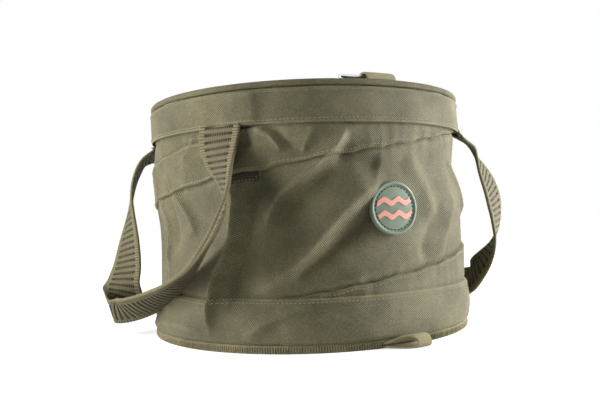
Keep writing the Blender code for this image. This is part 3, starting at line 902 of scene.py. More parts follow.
coarse_turn = np.arange(-180, 180, 1.0)
liner = shell("wall_liner_cloth", coarse_turn, FOLD_START, WALL_TOP, liner_surface, LINER_THICKNESS,
              LINER_CLOTH, 70, closed=True)
dress(liner, "fold", "wall_liner")
liner_foot = shell("liner_foot_cloth", coarse_turn, BOARD_BOTTOM, FOLD_START - 0.05, liner_surface,
                   LINER_THICKNESS, LINER_CLOTH, 24, closed=True)
dress(liner_foot, "base")


# %% [markdown]
# ### Floor and underside
# Both are round sheets. The floor's cloth lies loose on the board, so it swells a little. A disc is rings of
# points round its middle, and the points that meet there are merged, which closes the pole.

# %% Floor and underside
FLOOR_MARGIN = 2.2
SHEET = 1.2
FLOOR_SWELL = 0.35


def merge_middle(piece):
    """Joins the points that lie at one place in a disc's middle, so that the pole is closed."""
    shape = bmesh.new()
    shape.from_mesh(piece.data)
    bmesh.ops.remove_doubles(shape, verts=shape.verts, dist=1e-6)
    shape.to_mesh(piece.data)
    shape.free()


def disc_sheet(name, radius, bottom, top, material, swell=0.0, rings=24):
    """A round sheet between two heights; its top swells by a few low waves that fade at its edge."""
    turns = np.radians(np.arange(0, 360, 3.0))[:, None]
    out = np.linspace(0, 1, rings)[None, :] ** 0.8 * radius
    wave = np.sin(out / 19 + 1.1) * np.sin(turns * 3 + out / 40)
    wave = wave + 0.6 * np.sin(turns * 5 + 2) * np.sin(out / 11)
    lift = swell * wave * smooth_step((radius - out) / 30) * smooth_step(out / 30)
    upper = np.stack([out * np.sin(turns), -out * np.cos(turns), top + lift], -1)
    lower = np.stack([out * np.sin(turns), -out * np.cos(turns), bottom + 0 * lift], -1)
    sections = np.concatenate([lower, upper[:, ::-1]], 1)
    flat = np.concatenate([sections, sections[:, :1]], 1)
    flat = np.concatenate([flat, flat[:1]], 0)[..., :2]
    made = skin(name, sections, material, True, flat)
    merge_middle(made)
    return made


floor_sheet = disc_sheet("floor_cloth", FLOOR_RADIUS - FLOOR_MARGIN, FLOOR_TOP - SHEET, FLOOR_TOP,
                         LINER_CLOTH, FLOOR_SWELL)
dress(floor_sheet, "base", "floor_liner")
underside = disc_sheet("underside_cloth", WALL_RADIUS, 0.0, SHEET, WALL_CLOTH)
dress(underside, "base", "base_panel")


# %% [markdown]
# ## Bottom band, spiral band and rim band
# Each band is a strip of the same cloth sewn on the wall, and lies on the cloth under it, so its radius is
# the wall's plus a little. A band with one radius all round would cut through the wall's folds. The bottom
# band swells between its two seams. The rim band is stiff, because the hoop is inside it.

# %% Spiral band
SPIRAL_RISE = 1.8
SPIRAL_PRESSED = 0.7


def spiral_surface(azimuth, height):
    """The spiral band's outer radius, pressed in where it goes under the rim band."""
    return wall(azimuth, height) + SPIRAL_RISE - SPIRAL_PRESSED * smooth_step((height - RIM_EDGE + 3) / 3)


def spiral_top(azimuth):
    """The height of the band's upper edge, cut off under the rim band."""
    return np.minimum(spiral_lower(azimuth) + SPIRAL_WIDTH, SPIRAL_TOP)


def spiral_bottom(azimuth):
    """The height of its lower edge, cut off under the bottom band."""
    return np.minimum(np.maximum(spiral_lower(azimuth), FOLD_START - 3.0), spiral_top(azimuth) - 0.2)


spiral_turn = np.arange(SPIRAL_FIRST, SPIRAL_LAST, STEP_DEG)
spiral = shell("spiral_band_cloth", spiral_turn, spiral_bottom, spiral_top, spiral_surface, 1.45, WALL_CLOTH,
               34, closed=False, hem=1.5)
dress(spiral, "fold", "spiral_band")


# %% Bottom band
# the swell, the groove's depth and width, the gap under the band and the layers of cloth there, in mm
BAND_SWELL = 1.3
BINDING_GROOVE = 1.8
BAND_GAP = 0.5
SPIRAL_LAYER = 1.2
BAND_LAYER = 1.3


def spiral_presence(azimuth, height, soft):
    """One where the spiral band covers the wall, zero elsewhere, with an edge that many mm soft."""
    result = 0
    azimuth = wrapped(azimuth)
    for turn in TURNS:
        along = azimuth + turn
        low = spiral_lower(along)
        inside = smooth_step(2 * (along - SPIRAL_FIRST) / soft)
        inside = inside * smooth_step(2 * (SPIRAL_LAST - along) / soft)
        above = smooth_step((height - low + soft) / soft)
        under = smooth_step((low + SPIRAL_WIDTH + soft - height) / soft)
        result = result + inside * above * under
    return np.clip(result, 0, 1)


def band_surface(azimuth, height):
    """The bottom band's outer radius: the wall's, the layers under it, a swell between its seams and a
    groove along the binding."""
    share = np.clip((height - BINDING_TOP) / (BAND_TOP - BINDING_TOP), 0, 1)
    swell = BAND_SWELL * np.sin(np.pi * share) ** 0.8
    swell = swell - BINDING_GROOVE * np.exp(-((height - BINDING_TOP) / BINDING_GROOVE) ** 2)
    covered = spiral_presence(azimuth, np.full_like(height, BAND_TOP + 1.0), 7.0)
    layers = BAND_GAP + SPIRAL_LAYER * covered + BAND_LAYER
    return wall(azimuth, height) + layers + swell


band = shell("bottom_band_cloth", FULL_TURN, BINDING_TOP - 0.5, BAND_TOP, band_surface, 1.2, WALL_CLOTH, 34,
             closed=True, hem=1.4)
dress(band, "base", "bottom_band")


# %% [markdown]
# ### The rim
# The rim band is folded over the hoop, and a rolled bead is sewn round its top. The stiff rings sit a little
# to one side in the photograph, the rim by 1.7 mm and the foot by 2.2 mm. `lean` says where to: it is 1 at
# the right, -1 at the left, and follows a smooth curve between. The straps' sewn ends make the band bulge.

# %% Rim band
# azimuths in degrees, and how far the band or its crease stands out or turns in, in mm
LEAN_AZIMUTHS = [-180, -106, -30, 0, 49, 110, 180]
LEAN_SHARES = [0, -1, -0.2, 0.1, 1, 0.3, 0]
RIM_LEAN = 1.7
FOOT_LEAN = 2.2
RIM_OUT = 2.3
RIM_TURN_IN = 2.4
STRAP_SPOTS = (-125, -55, 55, 125)
STRAP_BULGE = 1.5
CREASE_AZIMUTH = -44.5
CREASE_RISE = 2.4


def lean(azimuth):
    """How far a ring sits out at an azimuth, as a share between -1 and 1."""
    return smooth_curve(wrapped(azimuth), LEAN_AZIMUTHS, LEAN_SHARES)


def near(azimuth, spot, width):
    """A bell of a width in degrees round an azimuth."""
    return np.exp(-(wrapped(azimuth - spot) / width) ** 2)


def rim_surface(azimuth, height):
    """The rim band's outer radius: nearly upright, with a bulge over each strap, one crease and a few
    faint hollows, and its top turned in to the bead."""
    share = (height - RIM_EDGE) / (RIM_TOP - RIM_EDGE)
    radius = WALL_RADIUS + RIM_OUT + RIM_LEAN * lean(azimuth)
    radius = radius - RIM_TURN_IN * smooth_step((share - 0.95) / 0.05)
    for spot in STRAP_SPOTS:
        radius = radius + STRAP_BULGE * near(azimuth, spot, 8.5) * (1 - smooth_step(share / 0.7))
    free = smooth_step(share / 0.1) * (1 - smooth_step((share - 0.80) / 0.2))
    width = np.where(wrapped(azimuth - CREASE_AZIMUTH) < 0, 9.0, 2.2)
    crease = CREASE_RISE * near(azimuth, CREASE_AZIMUTH, width) - 0.8 * near(azimuth, -40.0, 3.5)
    radius = radius + free * crease
    wave = np.sin(np.radians(azimuth) * 7 + 1) + np.sin(np.radians(azimuth) * 11 + height / 9)
    return radius + WAVE_RISE * wave * free


rim_band = shell("rim_band_cloth", FULL_TURN, RIM_EDGE, RIM_TOP, rim_surface, 0.9, WALL_CLOTH, 34,
                 closed=True, hem=1.2)
dress(rim_band, "rim", "rim_band")


# %% Bead
def ring_piece(name, profile, material, sway, step=1.0):
    """A profile of (radius, height) carried round the bucket, pushed out by the sway times the lean."""
    turns = np.arange(-180, 180, step)
    profile = np.asarray(profile, float)
    radius = profile[None, :, 0] + sway * lean(turns)[:, None]
    return skin(name, around(turns[:, None], radius, profile[None, :, 1]), material, True)


def round_profile(radius, height, half, sides):
    """A circle of points round (radius, height)."""
    turn = 2 * np.pi * np.arange(sides) / sides
    return np.stack([radius + half * np.cos(turn), height + half * np.sin(turn)], -1)


bead_profile = round_profile(BEAD_PATH, BEAD_HEIGHT, BEAD_RADIUS, 14)
bead = ring_piece("rim_bead", bead_profile, BEAD_CLOTH, RIM_LEAN, 0.5)
dress(bead, "rim", "rim_piping")


# %% Facing
GATHER = 0.25
FACING_CLOTH = 0.9


def facing_surface(azimuth, height):
    """The facing's outer radius, with small gathers where it is sewn to the bead."""
    gather = GATHER * np.sin(np.radians(azimuth) * 70 + np.sin(np.radians(azimuth) * 9) * 4)
    radius = FACING_RADIUS - 0.1 + RIM_LEAN * lean(azimuth)
    return radius + gather * smooth_step((height - RIM_EDGE) / 20) - PLAY


facing = shell("rim_facing_cloth", FULL_TURN, RIM_EDGE, RIM_TOP + 1.2, facing_surface, FACING_CLOTH,
               LINER_CLOTH, 20, closed=True)
dress(facing, "rim", "rim_facing")


# %% Hoop
HOOP_PLAY = 0.4
hoop_low, hoop_high = WALL_TOP + PLAY, RIM_TOP - PLAY
hoop_out, hoop_in = WALL_RADIUS - HOOP_PLAY, FACING_RADIUS + HOOP_PLAY
hoop_profile = [(hoop_in, hoop_low), (hoop_out, hoop_low), (hoop_out, hoop_high), (hoop_in, hoop_high)]
hoop = ring_piece("rim_hoop_spring", hoop_profile, BEAD_CLOTH, RIM_LEAN)
dress(hoop, "rim", "rim_hoop")


# %% [markdown]
# ### Base binding
# The seam round the base is bound with a ribbed tape. Its upright ribs show in the outline of the foot,
# which a bump can't change, so they are real: a sine in the azimuth, added to the tape's rounded profile.

# %% Base binding
BINDING_RIB_PITCH = 2.0
BINDING_RIB_HEIGHT = 0.38


def binding_sections():
    """A ribbed tape folded round the base seam: a rounded outline with fine upright ribs on its face."""
    turns = np.arange(-180, 180, 0.25)[:, None]
    height = np.array([0.0, 0.0, 0.5, 1.5, 3.0, 4.5, 5.5, 6.0, 6.0])[None, :]
    out = np.array([-3.2, -1.0, -0.25, 0.0, 0.1, 0.0, -0.3, -1.0, -3.2])[None, :]
    angle = np.radians(turns) * BINDING_RADIUS * 2 * np.pi / BINDING_RIB_PITCH
    rib = BINDING_RIB_HEIGHT * np.sin(angle) * (out > -0.9)
    return around(turns, BINDING_RADIUS + out + rib + FOOT_LEAN * lean(turns), height)


binding = skin("base_binding_tape", binding_sections(), BINDING_TAPE)
dress(binding, "base", "base_binding")


# %% [markdown]
# ## Stitches
# A seam's thread is what tells the eye that a line is sewn. Each stitch is a short grain of thread, a few
# faces only, laid on the cloth between two points of the seam. A bump or a picture would look flat from the
# side. All stitches of a row are one mesh.

# %% Sewing thread
def thread_material():
    """Thread between two olives, by a fine noise that also roughens it."""
    made, tree, shader = fresh("sewing_thread", 0.6, sheen=0.2)
    solid = node(tree, "ShaderNodeTexCoord", "Object")
    noise = node(tree, "ShaderNodeTexNoise", Vector=solid, Scale=1500.0, Detail=1.0)
    feed(tree, shader, Base_Color=mixed(tree, noise, srgb(112, 107, 80), srgb(166, 160, 126)))
    bump(tree, shader, noise, strength=0.4, distance=0.1)
    return made


THREAD = thread_material()
# along a stitch: where its outlines are, how high its middle lies and how thick it is
STITCH_STATIONS = np.array([0.0, 0.2, 0.5, 0.8, 1.0])
STITCH_LIFTS = np.array([-0.25, 0.12, 0.26, 0.12, -0.25])
STITCH_FATNESS = np.array([0.45, 0.95, 1.0, 0.95, 0.45])
STITCH_SIDES = 6


# %% Stitch rows
def stitch_row(name, azimuths, surface, heights, body, length=2.3, half=0.33, pitch=3.2):
    """Grains of thread along a line of (azimuth, height) on a surface: a six-sided outline that grows and
    shrinks along each stitch, whose ends dip into the cloth."""
    run = run_of(np.stack([np.radians(azimuths) * WALL_RADIUS, heights], -1))
    starts = np.arange(pitch / 2, run[-1] - pitch, pitch)
    at = starts[:, None] + STITCH_STATIONS[None, :] * length
    azimuth = np.interp(at, run, azimuths)
    height = np.interp(at, run, heights)
    middle = around(azimuth, surface(azimuth, height) + STITCH_LIFTS[None, :], height)
    outward = around(azimuth, np.ones_like(azimuth), np.zeros_like(azimuth))
    ahead = unit(middle[:, -1:] - middle[:, :1])
    across = unit(np.cross(outward, np.broadcast_to(ahead, outward.shape)))
    fat = half * STITCH_FATNESS[None, :, None, None]
    turn = 2 * np.pi * np.arange(STITCH_SIDES) / STITCH_SIDES
    spots = (middle[:, :, None] + fat * (np.cos(turn)[:, None] * across[:, :, None]
                                         + np.sin(turn)[:, None] * outward[:, :, None]))
    dress(stitches_from(name, spots), body)


def stitches_from(name, spots):
    """One mesh from many small closed runs: spots is (stitches, stations, six sides, 3). Two quads close
    each end."""
    count, stations, sides, _ = spots.shape
    base = (np.arange(count) * stations * sides)[:, None, None]
    row = (np.arange(stations - 1) * sides)[None, :, None]
    side = np.arange(sides)[None, None, :]
    here = base + row + side
    after = base + row + (side + 1) % sides
    quads = np.stack([here, after, after + sides, here + sides], -1)
    first = np.stack([base[:, 0, 0] + k for k in (0, 5, 4, 1)], -1)
    second = np.stack([base[:, 0, 0] + k for k in (1, 4, 3, 2)], -1)
    last = (stations - 1) * sides
    caps = np.concatenate([first, second, first[:, ::-1] + last, second[:, ::-1] + last])
    quads = np.concatenate([quads.reshape(-1, 4), caps])
    return to_object(name, spots.reshape(-1, 3), quads, None, THREAD)


# %% The bucket's rows of stitches
# how far each row lies from its band's edge, in mm
RIM_MARGIN = 2.6
BEAD_MARGIN = 3.2
BAND_MARGIN = 2.8
SPIRAL_MARGIN = 2.4
ring_turn = np.arange(-180, 180.01, 0.5)
stitch_row("rim_stitches", ring_turn, rim_surface, np.full_like(ring_turn, RIM_EDGE + RIM_MARGIN), "rim")
stitch_row("bead_stitches", ring_turn, rim_surface, np.full_like(ring_turn, RIM_TOP - BEAD_MARGIN), "rim",
           length=1.6, half=0.24, pitch=2.4)
stitch_row("bottom_band_stitches", ring_turn, band_surface, np.full_like(ring_turn, BAND_TOP - BAND_MARGIN),
           "base")
low = spiral_lower(spiral_turn)
low_turn = spiral_turn[(low > FOLD_START + 1) & (low < RIM_EDGE - 3)]
stitch_row("spiral_lower_stitches", low_turn, spiral_surface, spiral_lower(low_turn) + SPIRAL_MARGIN, "fold")
high = low + SPIRAL_WIDTH
high_turn = spiral_turn[(high > FOLD_START + 3) & (high < RIM_EDGE - 1)]
stitch_row("spiral_upper_stitches", high_turn, spiral_surface,
           spiral_lower(high_turn) + SPIRAL_WIDTH - SPIRAL_MARGIN, "fold")


# %% [markdown]
# ## Webbing
# The handles are ladder webbing: smooth cross bars with rows of dark pits between them, and ribbed edges.
# They are about 36 mm wide in the photograph. The relief is real geometry, because it shows at the strap's
# edges: the outline at each step along it is pushed out by a function of the distance across and the
# distance along.
#
# A handle's path is a list of places in mm with the direction of its width there, from its front end under
# the rim band, down, round its lowest bend and up to its rear end. A Catmull-Rom curve goes through them and
# a running mean makes the bends as soft as stiff webbing's.

# %% Strap sizes and the left strap's path
# in mm; the webbing's ends are sewn under the rim band over the length SEWN_END
STRAP_WIDTH = 36.0
STRAP_THICKNESS = 2.0
SEWN_END = 12.4
SOFTNESS = 4.0
LEFT_STRAP = [
    (-114.6, -80.2, 172.6, -0.57, 0.82, 0.00), (-115.0, -80.5, 168.5, -0.57, 0.82, 0.05),
    (-116.0, -80.6, 163.0, -0.58, 0.82, -0.03), (-117.2, -82.5, 157.4, -0.50, 0.86, -0.06),
    (-118.6, -84.0, 149.3, -0.37, 0.92, -0.02), (-119.8, -88.3, 141.4, -0.20, 0.97, -0.02),
    (-120.7, -94.1, 133.7, -0.00, 0.99, 0.02), (-121.9, -101.1, 126.6, 0.16, 0.98, 0.03),
    (-123.9, -107.2, 120.3, 0.29, 0.96, 0.05), (-126.0, -112.1, 114.1, 0.38, 0.92, 0.03),
    (-128.7, -114.4, 107.7, 0.44, 0.90, 0.01), (-131.6, -114.7, 101.6, 0.52, 0.84, 0.16),
    (-134.7, -111.0, 92.5, 0.60, 0.75, 0.27), (-137.4, -104.7, 84.5, 0.62, 0.74, 0.26),
    (-139.2, -93.3, 75.8, 0.61, 0.76, 0.21), (-140.4, -78.6, 66.2, 0.65, 0.75, 0.13),
    (-141.7, -62.0, 57.9, 0.73, 0.69, 0.03), (-143.1, -43.3, 49.7, 0.77, 0.63, -0.09),
    (-145.0, -23.8, 42.1, 0.79, 0.55, -0.26), (-148.4, -4.0, 35.4, 0.78, 0.51, -0.38),
    (-154.4, 9.0, 30.7, 0.74, 0.49, -0.46), (-160.0, 21.0, 27.4, 0.73, 0.44, -0.53),
    (-167.2, 37.0, 24.3, 0.29, 0.68, -0.68), (-171.3, 46.5, 23.5, 0.28, 0.74, -0.61),
    (-164.8, 56.5, 25.7, 0.59, 0.54, -0.60), (-158.0, 60.0, 33.4, 0.93, 0.12, -0.35),
    (-158.8, 57.0, 45.6, 0.61, -0.79, -0.07), (-155.6, 60.0, 53.3, 0.59, -0.81, 0.08),
    (-152.0, 64.0, 65.6, 0.44, -0.88, 0.17), (-149.6, 68.0, 80.0, 0.29, -0.94, 0.21),
    (-147.2, 72.0, 94.6, 0.09, -0.97, 0.22), (-145.1, 75.0, 108.5, -0.10, -0.97, 0.22),
    (-143.5, 77.0, 118.8, -0.21, -0.96, 0.20), (-140.7, 79.0, 133.0, -0.26, -0.94, 0.21),
    (-136.2, 81.0, 145.4, -0.25, -0.94, 0.24), (-130.6, 82.0, 155.0, -0.22, -0.94, 0.25),
    (-124.9, 82.5, 161.0, -0.11, -0.97, 0.21), (-114.9, 82.3, 164.5, -0.42, -0.88, 0.20),
    (-114.6, 80.2, 172.6, -0.59, -0.79, -0.17),
]
print(len(LEFT_STRAP), "points on the left strap's path")


# %% The right strap's path
RIGHT_STRAP = [
    (114.6, -80.2, 172.6, 0.57, 0.82, -0.00), (115.3, -80.8, 168.5, 0.31, 0.90, 0.30),
    (122.4, -80.5, 165.4, 0.14, 0.92, 0.36), (129.7, -80.5, 162.3, 0.26, 0.88, 0.40),
    (135.3, -80.5, 157.0, 0.48, 0.80, 0.36), (139.1, -80.5, 150.1, 0.59, 0.76, 0.28),
    (141.7, -80.5, 143.8, 0.64, 0.70, 0.31), (145.2, -80.5, 137.3, 0.64, 0.63, 0.45),
    (150.3, -80.0, 130.7, 0.68, 0.56, 0.48), (154.8, -80.0, 123.1, 0.76, 0.49, 0.42),
    (158.7, -79.5, 115.0, 0.81, 0.46, 0.36), (161.7, -79.0, 106.3, 0.85, 0.45, 0.25),
    (163.4, -78.5, 97.4, 0.85, 0.51, 0.15), (164.0, -78.0, 89.8, 0.82, 0.56, 0.10),
    (164.3, -77.0, 81.7, 0.78, 0.63, 0.05), (163.5, -76.0, 73.6, 0.69, 0.72, -0.02),
    (160.6, -74.0, 65.1, 0.57, 0.82, 0.05), (157.7, -71.0, 57.6, 0.47, 0.86, 0.21),
    (154.5, -67.0, 50.0, 0.42, 0.81, 0.42), (153.0, -61.0, 43.1, 0.41, 0.65, 0.65),
    (154.0, -53.0, 36.3, 0.39, 0.52, 0.76), (156.3, -44.0, 29.7, 0.60, 0.20, 0.77),
    (161.0, -26.0, 24.0, 0.20, 0.05, 0.98), (164.0, -2.0, 26.0, 0.52, -0.29, 0.80),
    (163.0, 22.0, 40.0, 0.67, -0.45, 0.60), (158.0, 45.0, 68.0, 0.62, -0.58, 0.52),
    (150.0, 65.0, 103.0, 0.58, -0.66, 0.47), (142.0, 78.0, 134.0, 0.47, -0.77, 0.44),
    (130.0, 83.0, 156.0, 0.32, -0.87, 0.37), (115.2, 81.3, 165.0, 0.40, -0.89, 0.22),
    (114.6, 80.2, 172.6, 0.58, -0.81, -0.06),
]
print(len(RIGHT_STRAP), "points on the right strap's path")


# %% Curves through a path
def catmull(rows, steps=16):
    """Points on the Catmull-Rom curve through the rows, steps to each stretch."""
    rows = np.asarray(rows, float)
    held = np.concatenate([rows[:1], rows, rows[-1:]])
    a, b, c, d = held[:-3, None], held[1:-2, None], held[2:-1, None], held[3:, None]
    t = (np.arange(steps) / steps)[None, :, None]
    curve = (2 * b + (c - a) * t + (2 * a - 5 * b + 4 * c - d) * t**2 + (3 * b - a - 3 * c + d) * t**3) / 2
    return np.concatenate([curve.reshape(-1, rows.shape[1]), rows[-1:]])


def strap_path(rows, step):
    """Centre points, width directions and face directions of a handle, evenly spaced by length in mm: the
    curve is resampled and each coordinate gets a bell-shaped running mean, SOFTNESS wide."""
    fine = catmull(rows)
    run = run_of(fine[:, :3])
    at = np.linspace(0, run[-1], round(run[-1] / step) + 1)
    path = np.stack([np.interp(at, run, fine[:, k]) for k in range(6)], -1)
    reach = round(3 * SOFTNESS / step)
    bell = np.exp(-0.5 * (np.arange(-reach, reach + 1) * step / SOFTNESS) ** 2)
    held = np.concatenate([2 * path[0] - path[reach:0:-1], path, 2 * path[-1] - path[-2:-reach - 2:-1]])
    path = np.stack([np.convolve(held[:, k], bell / bell.sum(), "valid") for k in range(6)], -1)
    width = unit(path[:, 3:])
    face = unit(np.cross(unit(np.gradient(path[:, :3], axis=0)), width))
    return at, path[:, :3], width, face


# %% [markdown]
# The relief across the strap has three zones. The two edges are ribbed with a rib every 2.4 mm. The middle
# has a smooth bar every 5.7 mm, and between two bars a row of pits with cords between them. The material
# reads the same distances from the UV map. It paints shade into the pits and between the ribs, and a
# painted highlight on the ribbed edges, so that these lie on the pits and ribs of the mesh.

# %% Webbing relief
STRAP_STEP = 0.475
BAR_PITCH = 12 * STRAP_STEP
RIB_PITCH = 5 * STRAP_STEP
CORD_PITCH = 2.1
EDGE_ZONE = 11.8
PIT_FROM = 0.50
PIT_SOFT = 0.20


def ladder_relief(across, along):
    """Height in mm over the strap's face at a distance across from its middle and along it. The phase is 0
    in the middle of a bar and 1 between two bars."""
    edge = smooth_step((np.abs(across) - EDGE_ZONE) / 0.8)
    ribs = 0.62 * np.abs(np.sin(np.pi * along / RIB_PITCH)) ** 0.8 - 0.12
    phase = np.abs((along / BAR_PITCH) % 1.0 - 0.5) * 2
    row = smooth_step((phase - PIT_FROM) / PIT_SOFT)
    bar = 0.50 * np.sqrt(np.clip(1 - (phase / 0.75) ** 2, 0, 1))
    cords = 0.5 + 0.5 * np.cos(2 * np.pi * across / CORD_PITCH)
    pits = -0.85 + 0.75 * cords
    middle = bar * (1 - row) + pits * row
    groove = -0.25 * np.exp(-((np.abs(across) - EDGE_ZONE) / 0.7) ** 2)
    return middle * (1 - edge) + (ribs + 0.1) * edge + groove


# %% Strap outlines
def strap_sections(centre, width, face, at, cup):
    """The strap's outlines: one row of points over its face and one back under it, both with relief. The
    middle of the strap stands out by the cup over its edges."""
    half = STRAP_WIDTH / 2
    inner = np.linspace(-half + 1.2, half - 1.2, 34)
    across = np.concatenate([[-half, -half + 0.5], inner, [half - 0.5, half]])
    near_edge = np.clip(np.abs(across) - half + 1.0, 0, 1)
    rounded = STRAP_THICKNESS / 2 * np.sqrt(np.clip(1 - near_edge ** 2, 0.06, 1))
    thick = (rounded / rounded.max())[None, :]
    bow = cup[:, None] * (1 - (across / half) ** 2)[None, :]
    top = bow + rounded[None, :] + ladder_relief(across[None, :], at[:, None]) * thick
    low = bow - rounded[None, :] - ladder_relief(across[None, :], at[:, None] + BAR_PITCH / 2) * thick
    flat_strap = centre[:, None] + across[None, :, None] * width[:, None]
    upper, lower = (flat_strap + side[..., None] * face[:, None] for side in (top, low))
    flat_u = np.concatenate([across, across[::-1], across[:1]])
    shift = np.repeat([BAR_PITCH / 2, 0, BAR_PITCH / 2], [len(across), len(across), 1])
    flat = np.stack(np.broadcast_arrays(flat_u[None, :], at[:, None] + shift[None, :]), -1)
    return np.concatenate([lower, upper[:, ::-1]], 1), flat


# %% Webbing material
def webbing_material():
    """Olive webbing: painted shade darkens the pits and the gaps between ribs, and a painted highlight makes
    the ribbed edges paler; ribs and bars stay pale on their crests.
    """
    made, tree, shader = fresh("webbing", 0.75, sheen=0.1, specular=0.25)
    mottle = mottled(tree)
    across, along, _ = axes(tree, cloth_map(tree))
    edge = node(tree, "ShaderNodeMapRange", Value=maths(tree, "ABSOLUTE", across),
                From_Min=(EDGE_ZONE - 0.2) * MM, From_Max=(EDGE_ZONE + 0.6) * MM)
    in_bar = maths(tree, "MODULO", maths(tree, "DIVIDE", along, BAR_PITCH * MM), 1.0)
    phase = maths(tree, "MULTIPLY", maths(tree, "ABSOLUTE", maths(tree, "SUBTRACT", in_bar, 0.5)), 2.0)
    row = node(tree, "ShaderNodeMapRange", Value=phase, From_Min=PIT_FROM, From_Max=PIT_FROM + PIT_SOFT)
    cords = maths(tree, "COSINE", maths(tree, "MULTIPLY", across, 2 * math.pi / (CORD_PITCH * MM)))
    # painted shade: how much the pits darken, less over the cords
    pit_shade = maths(tree, "MULTIPLY", row, maths(tree, "MULTIPLY_ADD", cords, -0.35, 0.70))
    ribs = maths(tree, "SINE", maths(tree, "MULTIPLY", along, math.pi / (RIB_PITCH * MM)))
    # painted shade in the gaps between the edge ribs
    rib_gap_shade = node(tree, "ShaderNodeMapRange", Value=maths(tree, "ABSOLUTE", ribs), From_Min=0.10, From_Max=0.70,
               To_Min=0.65, To_Max=0.0)
    share = spread(tree, mottle["Cloud"], 0.8, 0.35)
    share = spread(tree, mottle["Speck"], 0.7, share)
    # painted highlight: the ribbed edges are made paler
    share = maths(tree, "MULTIPLY_ADD", edge, 0.35, share)
    colour = tinted(tree, share, srgb(72, 67, 46), srgb(138, 130, 96))
    # the dark colour is painted shade, laid on the pits and between the edge ribs
    feed(tree, shader, Base_Color=tinted(tree, mixed(tree, edge, pit_shade, rib_gap_shade), colour, srgb(34, 31, 21)))
    bump(tree, shader, mottle["Speck"], strength=0.4, distance=0.15)
    return made


WEBBING = webbing_material()


# %% Handles
# where the cup's bell lies along the strap, as a share of its length, and how far it reaches
CUP_AT, CUP_REACH = 0.47, 0.10


def make_handle(side, rows, cup_height):
    """One handle in three pieces: the loop, and the two ends that are sewn under the rim band. The cup is a
    bell along the strap."""
    at, centre, width, face = strap_path(rows, STRAP_STEP)
    cup = cup_height * np.exp(-((at / at[-1] - CUP_AT) / CUP_REACH) ** 2)
    sections, flat = strap_sections(centre, width, face, np.arange(len(at)) * STRAP_STEP, cup)
    cut = round(SEWN_END / STRAP_STEP)
    spans = [(f"{side}_strap_front", slice(0, cut + 1)), (f"{side}_handle", slice(cut, len(at) - cut)),
             (f"{side}_strap_rear", slice(len(at) - cut - 1, len(at)))]
    for name, span in spans:
        piece = skin(f"{name}_webbing", sections[span], WEBBING, False, flat[span])
        if name == f"{side}_handle":
            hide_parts(f"{side}_handle_loop")
            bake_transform(piece)
        else:
            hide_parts(f"{name}_end")
            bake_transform(piece)
    print(side, "handle is", round(at[-1]), "mm long")


make_handle("left", LEFT_STRAP, cup_height=2.4)
make_handle("right", RIGHT_STRAP, cup_height=0.0)


# %% [markdown]
# ## Strap patch
# A short end of webbing is sewn on the seam beside the left strap. It is a shell like the cloth's, on the
# wall's own surface, so it bends with the creases, and it has the webbing's material. A flat piece would
# stand off the wall at one end and sink into it at the other.

# %% Patch of webbing
PATCH_FROM, PATCH_TO = -52, -44
PATCH_LOW, PATCH_HIGH = 7.4, 0.6
PATCH_RISE = 1.5
PATCH_STRETCH = 1.6
# the thread runs along the lower edge and up the right one
THREAD_TURN = -44.5
THREAD_LOW, THREAD_HIGH = -6.5, -1.2


def patch_surface(azimuth, height):
    """The patch's outer radius: the wall's, its own thickness and a ripple every 2 mm up."""
    return wall(azimuth, height) + PATCH_RISE + 0.15 * np.sin(2 * np.pi * height / 2.0)


def patch_map(flat):
    """The patch is cut from the same webbing, turned so that its ladder lies along the seam."""
    middle = np.degrees(flat[..., 0] / WALL_RADIUS)
    return np.stack([(flat[..., 1] - spiral_lower(middle) + 4.0) * PATCH_STRETCH, flat[..., 0]], -1)


patch_turn = np.linspace(PATCH_FROM, PATCH_TO, 40)
patch = shell("strap_patch_webbing", patch_turn, lambda a: spiral_lower(a) - PATCH_LOW,
              lambda a: spiral_lower(a) - PATCH_HIGH, patch_surface, 1.3, WEBBING, 22, closed=False,
              hem=0.8, remap=patch_map)
patch_edge = np.concatenate([np.linspace(PATCH_FROM, THREAD_TURN, 24), np.full(10, THREAD_TURN)])
patch_rise = np.concatenate([np.full(24, THREAD_LOW), np.linspace(THREAD_LOW + 0.2, THREAD_HIGH, 10)])
stitch_row("patch_stitches", patch_edge, patch_surface, spiral_lower(patch_edge) + patch_rise, "fold",
           length=1.5, half=0.3, pitch=2.1)
dress(patch, "fold", "strap_patch")


# %% [markdown]
# ## Badge
# The badge is moulded rubber, sewn on: a round disc with a raised rim, a ring of stitches and two raised
# wavy bars in a second colour. It is one disc in polar coordinates whose height is a function of the
# distance from its middle and the angle. The same function gives the masks for the colours, which are
# stored as the UV map, so that colour and relief can't slip apart.

# %% Badge sizes in millimetres
BADGE_HEIGHT = 104.0
BADGE_RADIUS = 20.5
BADGE_SEAT = 0.9
RAISED_RIM, RAISED_RIM_HALF = 19.2, 1.4
FIELD_RADIUS = 15.6
BAR_WAVE, BAR_SWAY = 12.5, 1.5
BAR_OFF, BAR_HALF = 5.2, 2.3
THREAD_RING, THREAD_HALF = 16.6, 0.55
THREAD_DASHES = 34
print("the badge is", 2 * BADGE_RADIUS, "mm across")


# %% Badge rubber
def badge_material():
    """Moulded rubber in two colours, a grey-green ground and salmon waves, with dark dashes of thread."""
    made, tree, shader = fresh("badge_rubber", 0.45, specular=0.5)
    bars, dashes, _ = axes(tree, cloth_map(tree))
    mottle = mottled(tree)
    on_bar = maths(tree, "GREATER_THAN", bars, 0.5 * MM)
    colour = mixed(tree, on_bar, srgb(112, 128, 108), srgb(238, 162, 144))
    colour = tinted(tree, maths(tree, "DIVIDE", dashes, MM), colour, srgb(52, 60, 50))
    tone = maths(tree, "MULTIPLY_ADD", mottle["Cloud"], 0.3, 0.85)
    shade = node(tree, "ShaderNodeCombineColor", i0=tone, i1=tone, i2=tone)
    feed(tree, shader, Base_Color=mixed(tree, 1.0, colour, shade, "MULTIPLY"))
    bump(tree, shader, mottle["Speck"], strength=0.15, distance=0.05)
    return made


